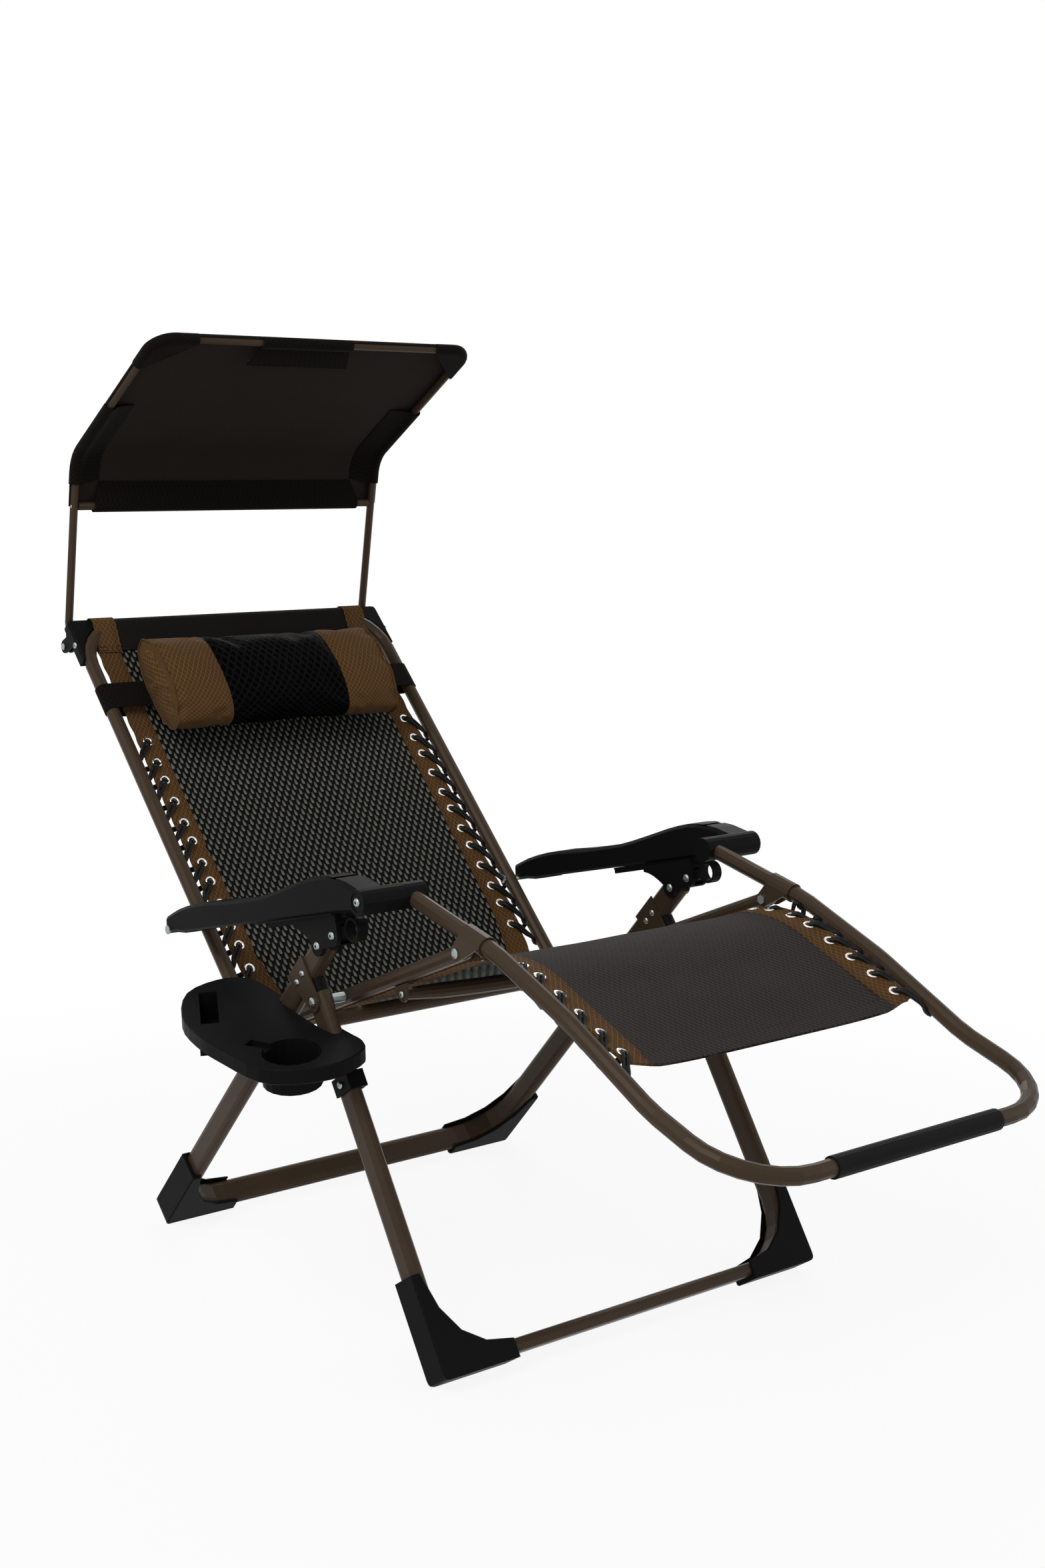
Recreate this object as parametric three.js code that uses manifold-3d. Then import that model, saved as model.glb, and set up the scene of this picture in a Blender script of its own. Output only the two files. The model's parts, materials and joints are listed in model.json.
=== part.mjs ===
// Reclining sun lounger with a canopy, a side tray and a laced sling.
// Millimetres, +Z up, +Y towards the head end, the sitter's left on +X.
import * as THREE from 'three';
import { mergeVertices } from 'three/addons/utils/BufferGeometryUtils.js';
import Module from 'manifold-3d';

const wasm = await Module();
wasm.setup();

// Clearances and overruns
const clearance = 0.3;
const overrun = 4;
const hipPlay = 1;
const kneePlay = 1.35;

// Tube stock
const legTubeDepth = 40;
const legTubeWidth = 19;
const frameTube = 22;
const canopyTube = 13;
const canopySides = 10;
const legBend = 90;
const backBend = 80;
const footBarBend = 100;
const softBend = 160;
const canopyCornerBend = 32;
const canopyShoulderBend = 60;

// Half spans of the side members, from the middle plane to the tube centre
const railHalfSpan = 266;
const railToBackGap = 3.5;
const railToPlateGap = 24.7;
const railFlat = 8;
const plateThickness = 2.5;
const backHalfSpan = railHalfSpan + railFlat / 2 + railToBackGap + frameTube / 2;
const canopyHalfSpan = backHalfSpan;
const plateToLeg = plateThickness + clearance + legTubeWidth / 2;
const legHalfSpan = railHalfSpan + frameTube / 2 + railToPlateGap + plateToLeg;

// Main pivot, where rear frame, front frame and seat rails meet
const mainPivotY = -325;
const mainPivotZ = 446;

// Slopes from the floor, in degrees
const rearLegSlope = 47.7;
const frontLegSlope = 56.2;
const railSlope = 23.05;
const backSlope = 45;

// Legs
const foldGap = 2.7;
const rearTopReach = 84;
const frontTopReach = 9;
const lockPinFromTop = 13.5;

// Plastic feet
const footWall = 6;
const footPlate = 3;
const footLegArm = 122;
const footBarArm = 104;
const footTip = 15;
const footCornerRadius = 10;
const footEdge = 2;
const soleCut = 3;

// Leg plates and rivets
const plateTop = 24;
const plateBottom = 28;
const plateLobe = 14;
const rivetRadius = 4.4;
const rivetHeight = 2.4;
const rivetFirst = 7;
const rivetSecond = 13;
const crossTubeForward = 10;
const crossTubeDrop = 25;

// Bolts
const boltRadius = 4;
const smallBoltRadius = 3;
const headRadius = 7;
const smallHeadRadius = 5.6;
const headHeight = 3.2;
const boltSides = 10;
const holeSides = 8;

// Seat rails
const railToFront = 286.8;
const railToRear = 252.8;
const railFlatDepth = 26;
const railFlatLength = 34;
const railFlatRun = 24;
const railEndReach = 13;

// Rounded front end of a rail: share of its radius past the eye, and share of its height
const railNoseShares = [[0.93, 0.38], [0.6, 0.8], [0, 1]];

// Tabs and bowed bar under the rails
const tabAlong = 132.3;
const tabDrop = 23.6;
const tabLobe = 11;
const tabHalfLength = 17;
const tabPlate = 2.6;
const barBow = 11;
const barEndDepth = 8;
const barEndRun = 60;
const barShares = [0, 0.3, 0.56, 0.78, 0.94, 1];

// Back frame
const backLength = 775;
const armPivotAlong = 189.5;
const backEndReach = 13;

// Corner caps with the canopy ears
const capWall = 3;
const capLegArm = 70;
const capBarArm = 36;
const capTip = 15;
const capFront = 7;
const capCornerRadius = 9;
const capEdge = 3.5;
const earPastBar = 1;
const earAlong = backLength + earPastBar;
const earBehind = 45;
const earLobe = 11;
const earPlate = 4;
const earFoot = 22;

// Canopy
const postFlat = 5;
const postFlatDepth = 17;
const postFlatLength = 22;
const postFlatRun = 18;
const postEndShares = [[0.98, 0.3], [0.7, 0.72]];
const canopyShoulderForward = 52;
const canopyShoulderRise = 307;
const canopyFrontForward = 333;
const canopyFrontRise = 480;
const canopyBarRise = 228;
const coverThickness = 1.6;
const coverSkirt = 12;
const coverFlapHalf = 92;
const coverPocket = 84;
const coverRearDrop = 5;
const rearFlapGap = 33;
const rearFlapHalf = canopyHalfSpan - rearFlapGap;

// Leg rest, measured from the knee bolts
const kneeTubeRise = 25.2;
const kneeTubeSlope = 12.5;
const barrelForward = -120.6;
const legRestFirstBend = 66;
const legRestSecondBendY = 211.4;
const legRestSecondBendDrop = 44.9;
const legRestThirdBendY = 356.4;
const legRestThirdBendDrop = 114.9;
const footBarY = 516.4;
const footBarDrop = 162.9;
const clampSleeveRear = 6;
const clampSleeveFront = 52;
const clampSheet = 2.5;
const clampLobe = 11;
const gripHalfLength = 139;
const gripWall = 2.2;
const sleeveFacets = 7;

// Barrels at the front of the armrests
const barrelRadius = 17.5;
const barrelSplit = railHalfSpan + 13;
const barrelInner = railHalfSpan - 19;
const barrelSocketDepth = 6;
const barrelRecess = 1.2;
const barrelRecessRadius = 13;

// Armrests
const backToArmGap = 5.8;
const armWidth = 46.7;
const armInner = backHalfSpan + frameTube / 2 + backToArmGap;
const armOuter = armInner + armWidth;
const armWall = 3.4;
const armEdge = 5;
const armHump = 41;
const armUnder = 8.4;
const armRearReach = 10.4;
const armRearDrop = 5.6;
const armTipHigh = 16.8;
const armTipLow = 14;
const armCavityRear = 44;
const armCavityFront = 478;
const scoopAlong = 150;
const scoopLength = 46;
const scoopDepth = 5;
const scoopHalfWidth = 15;
const scoopHeightShare = 0.72;
const trackRear = 250;
const trackFront = 455;
const trackFlange = 2.2;
const trackRib = 7;
const trackRibWidth = 16;

// Shares of the armrest length and hump height along its top edge
const armTopShares = [
  [-0.012, 0.47], [0.07, 0.68], [0.186, 0.78], [0.308, 0.71], [0.427, 0.67],
  [0.531, 0.67], [0.646, 0.81], [0.769, 0.985], [0.863, 0.985], [0.945, 0.72],
];

// Lock under each armrest, measured from its pin in the leg top
const lockWing = 54;
const lockWingLow = 29;
const lockLug = 14;
const lockNose = 56;
const lockCheek = 5.2;
const lockPinForward = 41;
const lockPinRise = 11.2;
const lockNoseLobe = 15;
const lockTailShares = [0.62, 0.86];
const lockPocketReach = 86.4;
const leverRoom = 1.8;
const legSwing = 20;
const ringForward = 80.3;
const ringRise = 15.7;
const ringOuter = 16.5;
const ringInner = 13;
const leverWidth = 16;
const leverHub = 9.6;
const leverArm = 6.5;
const leverSwing = 16;

// Tray
const trayThickness = 3;
const trayRim = 22;
const trayWall = 3;
const trayLength = 331;
const trayWidth = 165;
const trayAnchorY = -361.6;
const trayAnchorZ = 412.2;
const trayPitch = 7.2;
const trayRoll = -6.2;
const trayLegGap = 3;
const trayEdge = 1.5;
const trayMiddleOutShare = 0.36;
const trayMiddleBackShare = 0.25;
const cupForward = 19.4;
const cupOut = 70.5;
const cupRadius = 40;
const cupDepth = 44;
const cupTaper = 3;
const slotOut = 88.5;
const slotRear = 169.6;
const slotWidth = 25;
const slotLength = 104;
const slotTurn = 27;
const slotDepth = 46;
const grooveWidth = 18;
const grooveReach = 68;
const grooveDepth = 8;
const hookDrop = 66;
const hookHeight = 24;
const hookWall = 4;

// Outline of the tray, in shares of its width out and its length back
const trayOutlineShares = [
  [-0.136, -0.08], [-0.136, -0.14], [-0.045, -0.216], [0.27, -0.255], [0.59, -0.198],
  [0.785, -0.089], [0.852, 0.15], [0.864, 0.313], [0.791, 0.512], [0.53, 0.706],
  [0.179, 0.745], [-0.03, 0.68], [-0.07, 0.56], [-0.07, 0.47],
];

// Sling
const slingThickness = 2.4;
const slingTopGap = 18.5;
const slingHipGap = 7;
const slingHemGap = 9;
const slingHalfTop = backHalfSpan - frameTube / 2 - slingTopGap;
const slingHalfHip = railHalfSpan - frameTube / 2 - slingHipGap;
const slingHalfHem = railHalfSpan - frameTube / 2 - slingHemGap;
const slingBackOffset = 4;
const slingSeatOffset = 9;
const slingBackSag = 10;
const slingSeatSag = 3.4;
const slingLegSag = 9;
const slingBelowBar = 47;
const slingTop = backLength - slingBelowBar;
const hipRadius = 70;
const kneeRadius = 215;
const legSheetSlope = 20.9;
const legSheetY = 155.4;
const legSheetDrop = 28.4;
const hemY = 295;
const slingAcross = 6;
const slingStep = 78;
const slingTopReach = 38;
const sleeveGap = 11.5;
const sleeveHalf = backHalfSpan - backBend - sleeveGap;
const sleeveWall = 2.2;

// Reach up to the top bar, width and sag of the sling's narrowing top, in shares
const slingTopShares = [[1, sleeveHalf / slingHalfTop, 0], [0.53, 0.922, 0.4]];

// Lacing
const cordRadius = 2;
const cordSides = 5;
const grommetInset = 10;
const grommetRadius = 2.95;
const backGrommets = 12;
const backGrommetBelowBar = 237;
const backGrommetLow = 104.6;
const backGrommetTop = backLength - backGrommetBelowBar;
const backGrommetPitch = (backGrommetTop - backGrommetLow) / (backGrommets - 1);
const legGrommets = 6;
const legGrommetRear = 75;
const legGrommetPitch = 38.9;
const cordDip = 5;
const cordPastEdge = 2.5;
const cordOverEdge = 5.4;
const cordEdgeShare = 0.2;

// Cord behind the tube: turn from straight out in degrees, and share of the pitch
const hookTurns = [[205, 0.42], [230, 0.5], [255, 0.58]];

// Pillow and its strap
const pillowBelowBar = 159;
const pillowAlong = backLength - pillowBelowBar;
const pillowHalfHeight = 97;
const pillowHalfDepth = 38;
const pillowHalfLength = 220;
const pillowRoundness = 2.3;
const pillowEndPower = 7;
const pillowEndHeightShare = 0.7;
const pillowEndDepthShare = 0.42;
const pillowRings = 14;
const pillowSides = 18;
const strapBelowBar = 151;
const strapAlong = backLength - strapBelowBar;
const strapWidth = 48;
const strapThickness = 1.5;
const strapDip = 18.6;
const strapDipGap = 52.5;
const strapDipHalf = backHalfSpan - strapDipGap;
const strapTurn = 165;
const strapTurnUnder = 75;

// Colours of the materials
const bronze = { color: 0x4b3e34, roughness: 0.42, metalness: 0.55 };
const blackPlastic = { color: 0x17171a, roughness: 0.55, metalness: 0 };
const zinc = { color: 0xb9bdc0, roughness: 0.3, metalness: 0.9 };
const meshFabric = { color: 0x3a3b36, roughness: 0.9, metalness: 0 };
const charcoalFabric = { color: 0x3c3834, roughness: 0.85, metalness: 0 };
const brownFabric = { color: 0x5f4123, roughness: 0.85, metalness: 0 };
const canopyFabric = { color: 0x231e1b, roughness: 0.9, metalness: 0 };
const blackCord = { color: 0x111113, roughness: 0.7, metalness: 0 };

const radians = THREE.MathUtils.degToRad;
const xAxis = new THREE.Vector3(1, 0, 0);
const vec = (x, y, z) => new THREE.Vector3(x, y, z);

// Directions in the side view, y first
const sideDirection = (degrees) => new THREE.Vector2(Math.cos(radians(degrees)), Math.sin(radians(degrees)));
const side = (y, z) => new THREE.Vector2(y, z);

// Closed geometry to solid and back
function solidOf(geometry) {
  const bare = geometry.index ? geometry.toNonIndexed() : geometry.clone();
  for (const name of Object.keys(bare.attributes)) {
    if (name !== 'position') bare.deleteAttribute(name);
  }
  const welded = mergeVertices(bare, 1e-4);
  const triVerts = new Uint32Array(welded.index.array);
  const vertProperties = new Float32Array(welded.attributes.position.array);
  return new wasm.Manifold(new wasm.Mesh({ numProp: 3, vertProperties, triVerts }));
}

function geometryOf(solid) {
  const result = solid.getMesh();
  const geometry = new THREE.BufferGeometry();
  geometry.setAttribute('position', new THREE.BufferAttribute(new Float32Array(result.vertProperties), 3));
  geometry.setIndex(new THREE.BufferAttribute(new Uint32Array(result.triVerts), 1));
  return geometry;
}

function join(...pieces) {
  return geometryOf(pieces.map(solidOf).reduce((sum, piece) => sum.add(piece)));
}

function cut(body, ...tools) {
  return geometryOf(tools.map(solidOf).reduce((rest, tool) => rest.subtract(tool), solidOf(body)));
}

function common(first, second) {
  return geometryOf(solidOf(first).intersect(solidOf(second)));
}

// Mirror image across the middle plane, faces kept pointing out
function mirrored(geometry) {
  const copy = geometry.index ? geometry.toNonIndexed() : geometry.clone();
  copy.scale(-1, 1, 1);
  const place = copy.attributes.position;
  const swap = new THREE.Vector3();
  const other = new THREE.Vector3();
  for (let i = 0; i < place.count; i += 3) {
    swap.fromBufferAttribute(place, i + 1);
    other.fromBufferAttribute(place, i + 2);
    place.setXYZ(i + 1, other.x, other.y, other.z);
    place.setXYZ(i + 2, swap.x, swap.y, swap.z);
  }
  return copy;
}

// A curve given by its stations, so straight runs need no steps
class StationPath extends THREE.Curve {
  constructor(points, tangents) {
    super();
    this.points = points;
    this.tangents = tangents;
  }

  station(u) {
    return Math.round(u * (this.points.length - 1));
  }

  getPointAt(u, target = new THREE.Vector3()) {
    return target.copy(this.points[this.station(u)]);
  }

  getTangentAt(u, target = new THREE.Vector3()) {
    return target.copy(this.tangents[this.station(u)]);
  }
}

// Straight runs between corners, each corner rounded to its radius
function bentPath(corners, radii, stepAngle) {
  const points = [corners[0].clone()];
  const tangents = [corners[1].clone().sub(corners[0]).normalize()];
  for (let i = 1; i < corners.length - 1; i += 1) {
    const into = corners[i].clone().sub(corners[i - 1]).normalize();
    const out = corners[i + 1].clone().sub(corners[i]).normalize();
    const turn = into.angleTo(out);
    const radius = radii[i - 1];
    const inward = out.clone().addScaledVector(into, -into.dot(out)).normalize();
    const start = corners[i].clone().addScaledVector(into, -radius * Math.tan(turn / 2));
    const centre = start.clone().addScaledVector(inward, radius);
    const steps = Math.max(1, Math.ceil(turn / radians(stepAngle)));
    for (let k = 0; k <= steps; k += 1) {
      const angle = (turn * k) / steps;
      const spoke = inward.clone().multiplyScalar(-Math.cos(angle)).addScaledVector(into, Math.sin(angle));
      points.push(centre.clone().addScaledVector(spoke, radius));
      tangents.push(into.clone().multiplyScalar(Math.cos(angle)).addScaledVector(inward, Math.sin(angle)));
    }
  }
  const last = corners.length - 1;
  points.push(corners[last].clone());
  tangents.push(corners[last].clone().sub(corners[last - 1]).normalize());
  return new StationPath(points, tangents);
}

function sweep(path, section, curveSegments) {
  const steps = path.points.length - 1;
  return new THREE.ExtrudeGeometry(section, { steps, extrudePath: path, curveSegments, bevelEnabled: false });
}

function roundSection(diameter) {
  return new THREE.Shape().absarc(0, 0, diameter / 2, 0, Math.PI * 2, false);
}

// Round section whose flats, not its corners, lie on the diameter
function roomSection(diameter) {
  return roundSection(diameter / Math.cos(Math.PI / (2 * sleeveFacets)));
}

// Flat oval section, its depth across the plane of the bent frame
function ovalSection(depth, width) {
  const end = width / 2;
  const half = depth / 2 - end;
  const shape = new THREE.Shape();
  shape.moveTo(-half, -end);
  shape.lineTo(half, -end);
  shape.absarc(half, 0, end, -Math.PI / 2, Math.PI / 2, false);
  shape.lineTo(-half, end);
  shape.absarc(-half, 0, end, Math.PI / 2, Math.PI * 1.5, false);
  return shape;
}

// Convex outline round a list of circles [y, z, radius]
function hullShape(circles, steps = 12) {
  const cloud = [];
  for (const [y, z, radius] of circles) {
    const count = radius > 0 ? steps : 1;
    for (let i = 0; i < count; i += 1) {
      const angle = (Math.PI * 2 * i) / count;
      cloud.push(side(y + radius * Math.cos(angle), z + radius * Math.sin(angle)));
    }
  }
  cloud.sort((a, b) => a.x - b.x || a.y - b.y);
  const turn = (o, a, b) => (a.x - o.x) * (b.y - o.y) - (a.y - o.y) * (b.x - o.x);
  const chain = (list) => {
    const half = [];
    for (const point of list) {
      while (half.length > 1 && turn(half[half.length - 2], half[half.length - 1], point) <= 0) half.pop();
      half.push(point);
    }
    half.pop();
    return half;
  };
  return new THREE.Shape([...chain(cloud), ...chain([...cloud].reverse())]);
}

// One flat bevel all round both faces, inside the outline
function bevel(edge) {
  return {
    bevelEnabled: edge > 0, bevelSegments: 1, bevelThickness: edge, bevelSize: edge, bevelOffset: -edge,
  };
}

// Solid of a side-view shape (y, z) between two x places
function alongX(shape, from, to, edge = 0, curveSegments = 6) {
  const depth = to - from - 2 * edge;
  const geometry = new THREE.ExtrudeGeometry(shape, { depth, curveSegments, ...bevel(edge) });
  geometry.applyMatrix4(new THREE.Matrix4().makeBasis(vec(0, 1, 0), vec(0, 0, 1), vec(1, 0, 0)));
  return geometry.translate(from + edge, 0, 0);
}

// Solid of a flat shape (x, y) between two z places
function alongZ(shape, from, to, edge = 0, curveSegments = 6) {
  const depth = to - from - 2 * edge;
  const geometry = new THREE.ExtrudeGeometry(shape, { depth, curveSegments, ...bevel(edge) });
  return geometry.translate(0, 0, from + edge);
}

function block(x0, x1, y0, y1, z0, z1) {
  const geometry = new THREE.BoxGeometry(x1 - x0, y1 - y0, z1 - z0);
  return geometry.translate((x0 + x1) / 2, (y0 + y1) / 2, (z0 + z1) / 2);
}

// Round bar along x
function rod(radius, from, to, y, z, sides = boltSides) {
  const geometry = new THREE.CylinderGeometry(radius, radius, to - from, sides);
  geometry.rotateZ(-Math.PI / 2);
  return geometry.translate((from + to) / 2, y, z);
}

// Hole with its flats on or outside the radius
function bore(radius, from, to, y, z, sides = holeSides) {
  return rod(radius / Math.cos(Math.PI / sides), from, to, y, z, sides);
}

// Domed head whose flat seat is at x, the dome outwards
function domedHead(radius, height, x, y, z) {
  const shoulder = height / 2;
  const flank = [side(0, 0), side(radius, 0), side(radius, shoulder)];
  const geometry = new THREE.LatheGeometry([...flank, side(radius / 2, height), side(0, height)], boltSides);
  geometry.rotateZ(-Math.PI / 2);
  return geometry.translate(x, y, z);
}

// Bolt along x with its domed head outside and a nut inside
function boltAcross(radius, head, headSeat, nutSeat, y, z) {
  const shank = rod(radius, nutSeat - headHeight / 2, headSeat + headHeight / 2, y, z, holeSides);
  const nut = rod(head, nutSeat - headHeight, nutSeat, y, z, 6);
  return join(shank, domedHead(head, headHeight, headSeat, y, z), nut);
}

// Closed skin over rings of equal point counts, with flat ends
function loft(rings) {
  const count = rings[0].length;
  const corners = [];
  const face = (a, b, c) => corners.push(...a.toArray(), ...b.toArray(), ...c.toArray());
  const middle = (ring) => ring.reduce((sum, point) => sum.add(point), vec(0, 0, 0)).divideScalar(count);
  for (let i = 0; i < rings.length - 1; i += 1) {
    for (let k = 0; k < count; k += 1) {
      const next = (k + 1) % count;
      face(rings[i][k], rings[i][next], rings[i + 1][next]);
      face(rings[i][k], rings[i + 1][next], rings[i + 1][k]);
    }
  }
  const first = middle(rings[0]);
  const last = middle(rings[rings.length - 1]);
  for (let k = 0; k < count; k += 1) {
    const next = (k + 1) % count;
    face(first, rings[0][next], rings[0][k]);
    face(last, rings[rings.length - 1][k], rings[rings.length - 1][next]);
  }
  const geometry = new THREE.BufferGeometry();
  geometry.setAttribute('position', new THREE.Float32BufferAttribute(corners, 3));
  return geometry;
}

// Superellipse ring about a centre, in the plane of two unit directions
function ringOf(centre, first, second, halfFirst, halfSecond, sides, roundness) {
  const ring = [];
  for (let i = 0; i < sides; i += 1) {
    const angle = (Math.PI * 2 * i) / sides;
    const c = Math.cos(angle);
    const s = Math.sin(angle);
    const a = Math.sign(c) * Math.abs(c) ** (2 / roundness) * halfFirst;
    const b = Math.sign(s) * Math.abs(s) ** (2 / roundness) * halfSecond;
    ring.push(centre.clone().addScaledVector(first, a).addScaledVector(second, b));
  }
  return ring;
}

// Tube whose two half widths change from station to station
function variedTube(path, sizes, sides) {
  const { normals, binormals } = path.computeFrenetFrames(path.points.length - 1, false);
  const rings = path.points.map((point, i) => (
    ringOf(point, normals[i], binormals[i], sizes[i][0], sizes[i][1], sides, 2)
  ));
  return outward(loft(rings));
}

// Frames of the bodies: Y runs along the member, Z is its upper normal
const lounger = new THREE.Group();

function frameAt(y, z, degrees) {
  const group = new THREE.Group();
  group.position.set(0, y, z);
  group.rotation.x = radians(degrees);
  group.updateMatrix();
  lounger.add(group);
  return group;
}

// Side-view point of a frame, in the lounger's own axes
function worldOf(group, y, z) {
  const point = vec(0, y, z).applyMatrix4(group.matrix);
  return side(point.y, point.z);
}

function localOf(group, point) {
  const place = vec(0, point.x, point.y).applyMatrix4(group.matrix.clone().invert());
  return side(place.y, place.z);
}

// Geometry of one frame, in the axes of another
function carried(geometry, from, to) {
  const matrix = to.matrix.clone().invert().multiply(from.matrix);
  return geometry.clone().applyMatrix4(matrix);
}

const rearDown = sideDirection(-rearLegSlope);
const rearNormal = side(-rearDown.y, rearDown.x);
const pivotOffset = legTubeDepth + foldGap;
const mainPivot = side(mainPivotY, mainPivotZ);
const rearOrigin = mainPivot.clone().addScaledVector(rearNormal, pivotOffset);
const rearFrame = frameAt(rearOrigin.x, rearOrigin.y, -rearLegSlope);
const frontFrame = frameAt(mainPivot.x, mainPivot.y, frontLegSlope - 180);
const railFrame = frameAt(mainPivot.x, mainPivot.y, -railSlope);
const rearPivot = worldOf(railFrame, railToRear, 0);
const kneePivot = worldOf(railFrame, -railToFront, 0);
const backFrame = frameAt(rearPivot.x, rearPivot.y, backSlope);
const legRestFrame = frameAt(kneePivot.x, kneePivot.y, 0);
const armPivot = worldOf(backFrame, armPivotAlong, 0);
const kneeTubeRun = sideDirection(kneeTubeSlope);
const kneeTubeAt = (y) => (kneeTubeRise + y * kneeTubeRun.y) / kneeTubeRun.x;
const barrelY = -barrelForward;
const barrel = worldOf(legRestFrame, barrelY, kneeTubeAt(barrelY));
const armVector = armPivot.clone().sub(barrel);
const armLength = armVector.length();
const armSlope = THREE.MathUtils.radToDeg(Math.atan2(-armVector.y, armVector.x));
const armFrame = frameAt(armPivot.x, armPivot.y, -armSlope);
const lockPin = worldOf(rearFrame, lockPinFromTop - rearTopReach, 0);
const lockFrame = frameAt(lockPin.x, lockPin.y, -armSlope);
const canopyPivot = worldOf(backFrame, earAlong, -earBehind);
const canopyGroup = frameAt(canopyPivot.x, canopyPivot.y, 0);
const trayGroup = new THREE.Group();
trayGroup.position.set(-(legHalfSpan + legTubeWidth / 2), trayAnchorY, trayAnchorZ);
trayGroup.rotation.set(radians(trayPitch), radians(trayRoll), 0);
trayGroup.updateMatrix();
lounger.add(trayGroup);

// Add a sub-part to its frame
function add(group, name, geometry, look) {
  const plain = geometry.index ? geometry : mergeVertices(geometry, 1e-4);
  plain.computeVertexNormals();
  const mesh = new THREE.Mesh(plain, new THREE.MeshStandardMaterial(look));
  mesh.name = name;
  group.add(mesh);
}

// The piece on the sitter's left and its mirror image on the right
function addPair(group, name, geometry, look) {
  add(group, `${name}_left`, geometry, look);
  add(group, `${name}_right`, mirrored(geometry), look);
}

// Feet and corner caps: a moulded angle over a bend, open on the inside, the caps also in front
function cornerShoe(halfSpan, cornerY, size) {
  const outX = halfSpan + size.tubeHalf + clearance + size.wall;
  const outY = cornerY + size.tubeHalf + clearance + size.wall;
  const innerX = halfSpan - size.tubeHalf;
  const innerY = cornerY - size.tubeHalf;
  const shape = new THREE.Shape();
  shape.moveTo(outX, cornerY - size.legArm);
  shape.lineTo(outX, outY - size.cornerRadius);
  shape.quadraticCurveTo(outX, outY, outX - size.cornerRadius, outY);
  shape.lineTo(halfSpan - size.barArm, outY);
  shape.lineTo(halfSpan - size.barArm, innerY - clearance);
  shape.quadraticCurveTo(innerX - size.lip, innerY - size.lip, outX - size.tip, cornerY - size.legArm);
  const body = alongZ(shape, -size.channelHalf - size.plate, size.front, size.edge, 4);
  return cut(body, shoeChannel(halfSpan, cornerY, size));
}

// Room for the tube in a shoe, reaching past its inner side
function shoeChannel(halfSpan, cornerY, size) {
  const x = halfSpan + size.tubeHalf + clearance;
  const y = cornerY + size.tubeHalf + clearance;
  const radius = size.bend + size.tubeHalf + clearance;
  const farX = halfSpan - size.barArm - size.bend;
  const farY = cornerY - size.legArm - size.bend;
  const shape = new THREE.Shape();
  shape.moveTo(farX, farY);
  shape.lineTo(x, farY);
  shape.lineTo(x, y - radius);
  shape.absarc(x - radius, y - radius, radius, 0, Math.PI / 2, false);
  shape.lineTo(farX, y);
  return alongZ(shape, -size.channelHalf, size.channelTop, 0, 6);
}

// Everything under the floor, in the axes of a frame
function belowFloor(group) {
  const reach = rearTopReach * 20;
  const slab = block(-reach, reach, -reach, reach, -reach, 0);
  return slab.applyMatrix4(group.matrix.clone().invert());
}

const footChannel = legTubeDepth / 2 + clearance;
const footSize = {
  tubeHalf: legTubeWidth / 2, wall: footWall, plate: footPlate, channelHalf: footChannel,
  legArm: footLegArm, barArm: footBarArm, tip: footTip, lip: footPlate, cornerRadius: footCornerRadius,
  edge: footEdge, bend: legBend, front: footChannel + footPlate, channelTop: footChannel,
};

// Distance from a frame's origin down its legs to the bar on the floor
function legRun(originZ, slope) {
  const below = footSize.tubeHalf + clearance + footWall;
  const across = footSize.channelHalf + footPlate;
  const sine = Math.sin(radians(slope));
  const barZ = below * sine + across * Math.cos(radians(slope)) - soleCut;
  return (originZ - barZ) / sine;
}

const rearRun = legRun(rearOrigin.y, rearLegSlope);
const frontRun = legRun(mainPivot.y, frontLegSlope);

function legFrameTube(topReach, run) {
  const corners = [
    vec(-legHalfSpan, -topReach, 0), vec(-legHalfSpan, run, 0),
    vec(legHalfSpan, run, 0), vec(legHalfSpan, -topReach, 0),
  ];
  return sweep(bentPath(corners, [legBend, legBend], 16), ovalSection(legTubeDepth, legTubeWidth), 3);
}

const legSpanEdge = legHalfSpan + legTubeWidth;
const lockLocal = side(lockPinFromTop - rearTopReach, 0);
const lockHole = bore(boltRadius + clearance, -legSpanEdge, legSpanEdge, lockLocal.x, lockLocal.y);
add(rearFrame, 'rear_leg_frame', cut(legFrameTube(rearTopReach, rearRun), lockHole), bronze);

const pivotHole = bore(boltRadius + clearance, -legSpanEdge, legSpanEdge, 0, 0);
add(frontFrame, 'front_leg_frame', cut(legFrameTube(frontTopReach, frontRun), pivotHole), bronze);

function footOn(group, run) {
  return cut(cornerShoe(legHalfSpan, run, footSize), belowFloor(group));
}
addPair(rearFrame, 'rear_foot', footOn(rearFrame, rearRun), blackPlastic);
addPair(frontFrame, 'front_foot', footOn(frontFrame, frontRun), blackPlastic);

// Plug in the top of each front leg, its end resting under the rear leg
function legEndPlug() {
  const low = -frontTopReach - clearance;
  const shape = ovalSection(legTubeDepth, legTubeWidth);
  const path = new StationPath(
    [vec(legHalfSpan, low, 0), vec(legHalfSpan, low - legTubeDepth, 0)], [vec(0, -1, 0), vec(0, -1, 0)],
  );
  const reach = pivotOffset - legTubeDepth / 2 - clearance;
  const round = rod(reach, legHalfSpan - legTubeWidth, legHalfSpan + legTubeWidth, 0, 0, 20);
  const underLeg = block(0, legSpanEdge, -rearTopReach, 0, -rearRun, -legTubeDepth / 2 - clearance);
  const free = join(round, carried(underLeg, rearFrame, frontFrame));
  return common(sweep(path, shape, 3), free);
}
addPair(frontFrame, 'leg_end_plug', legEndPlug(), blackPlastic);

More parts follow.
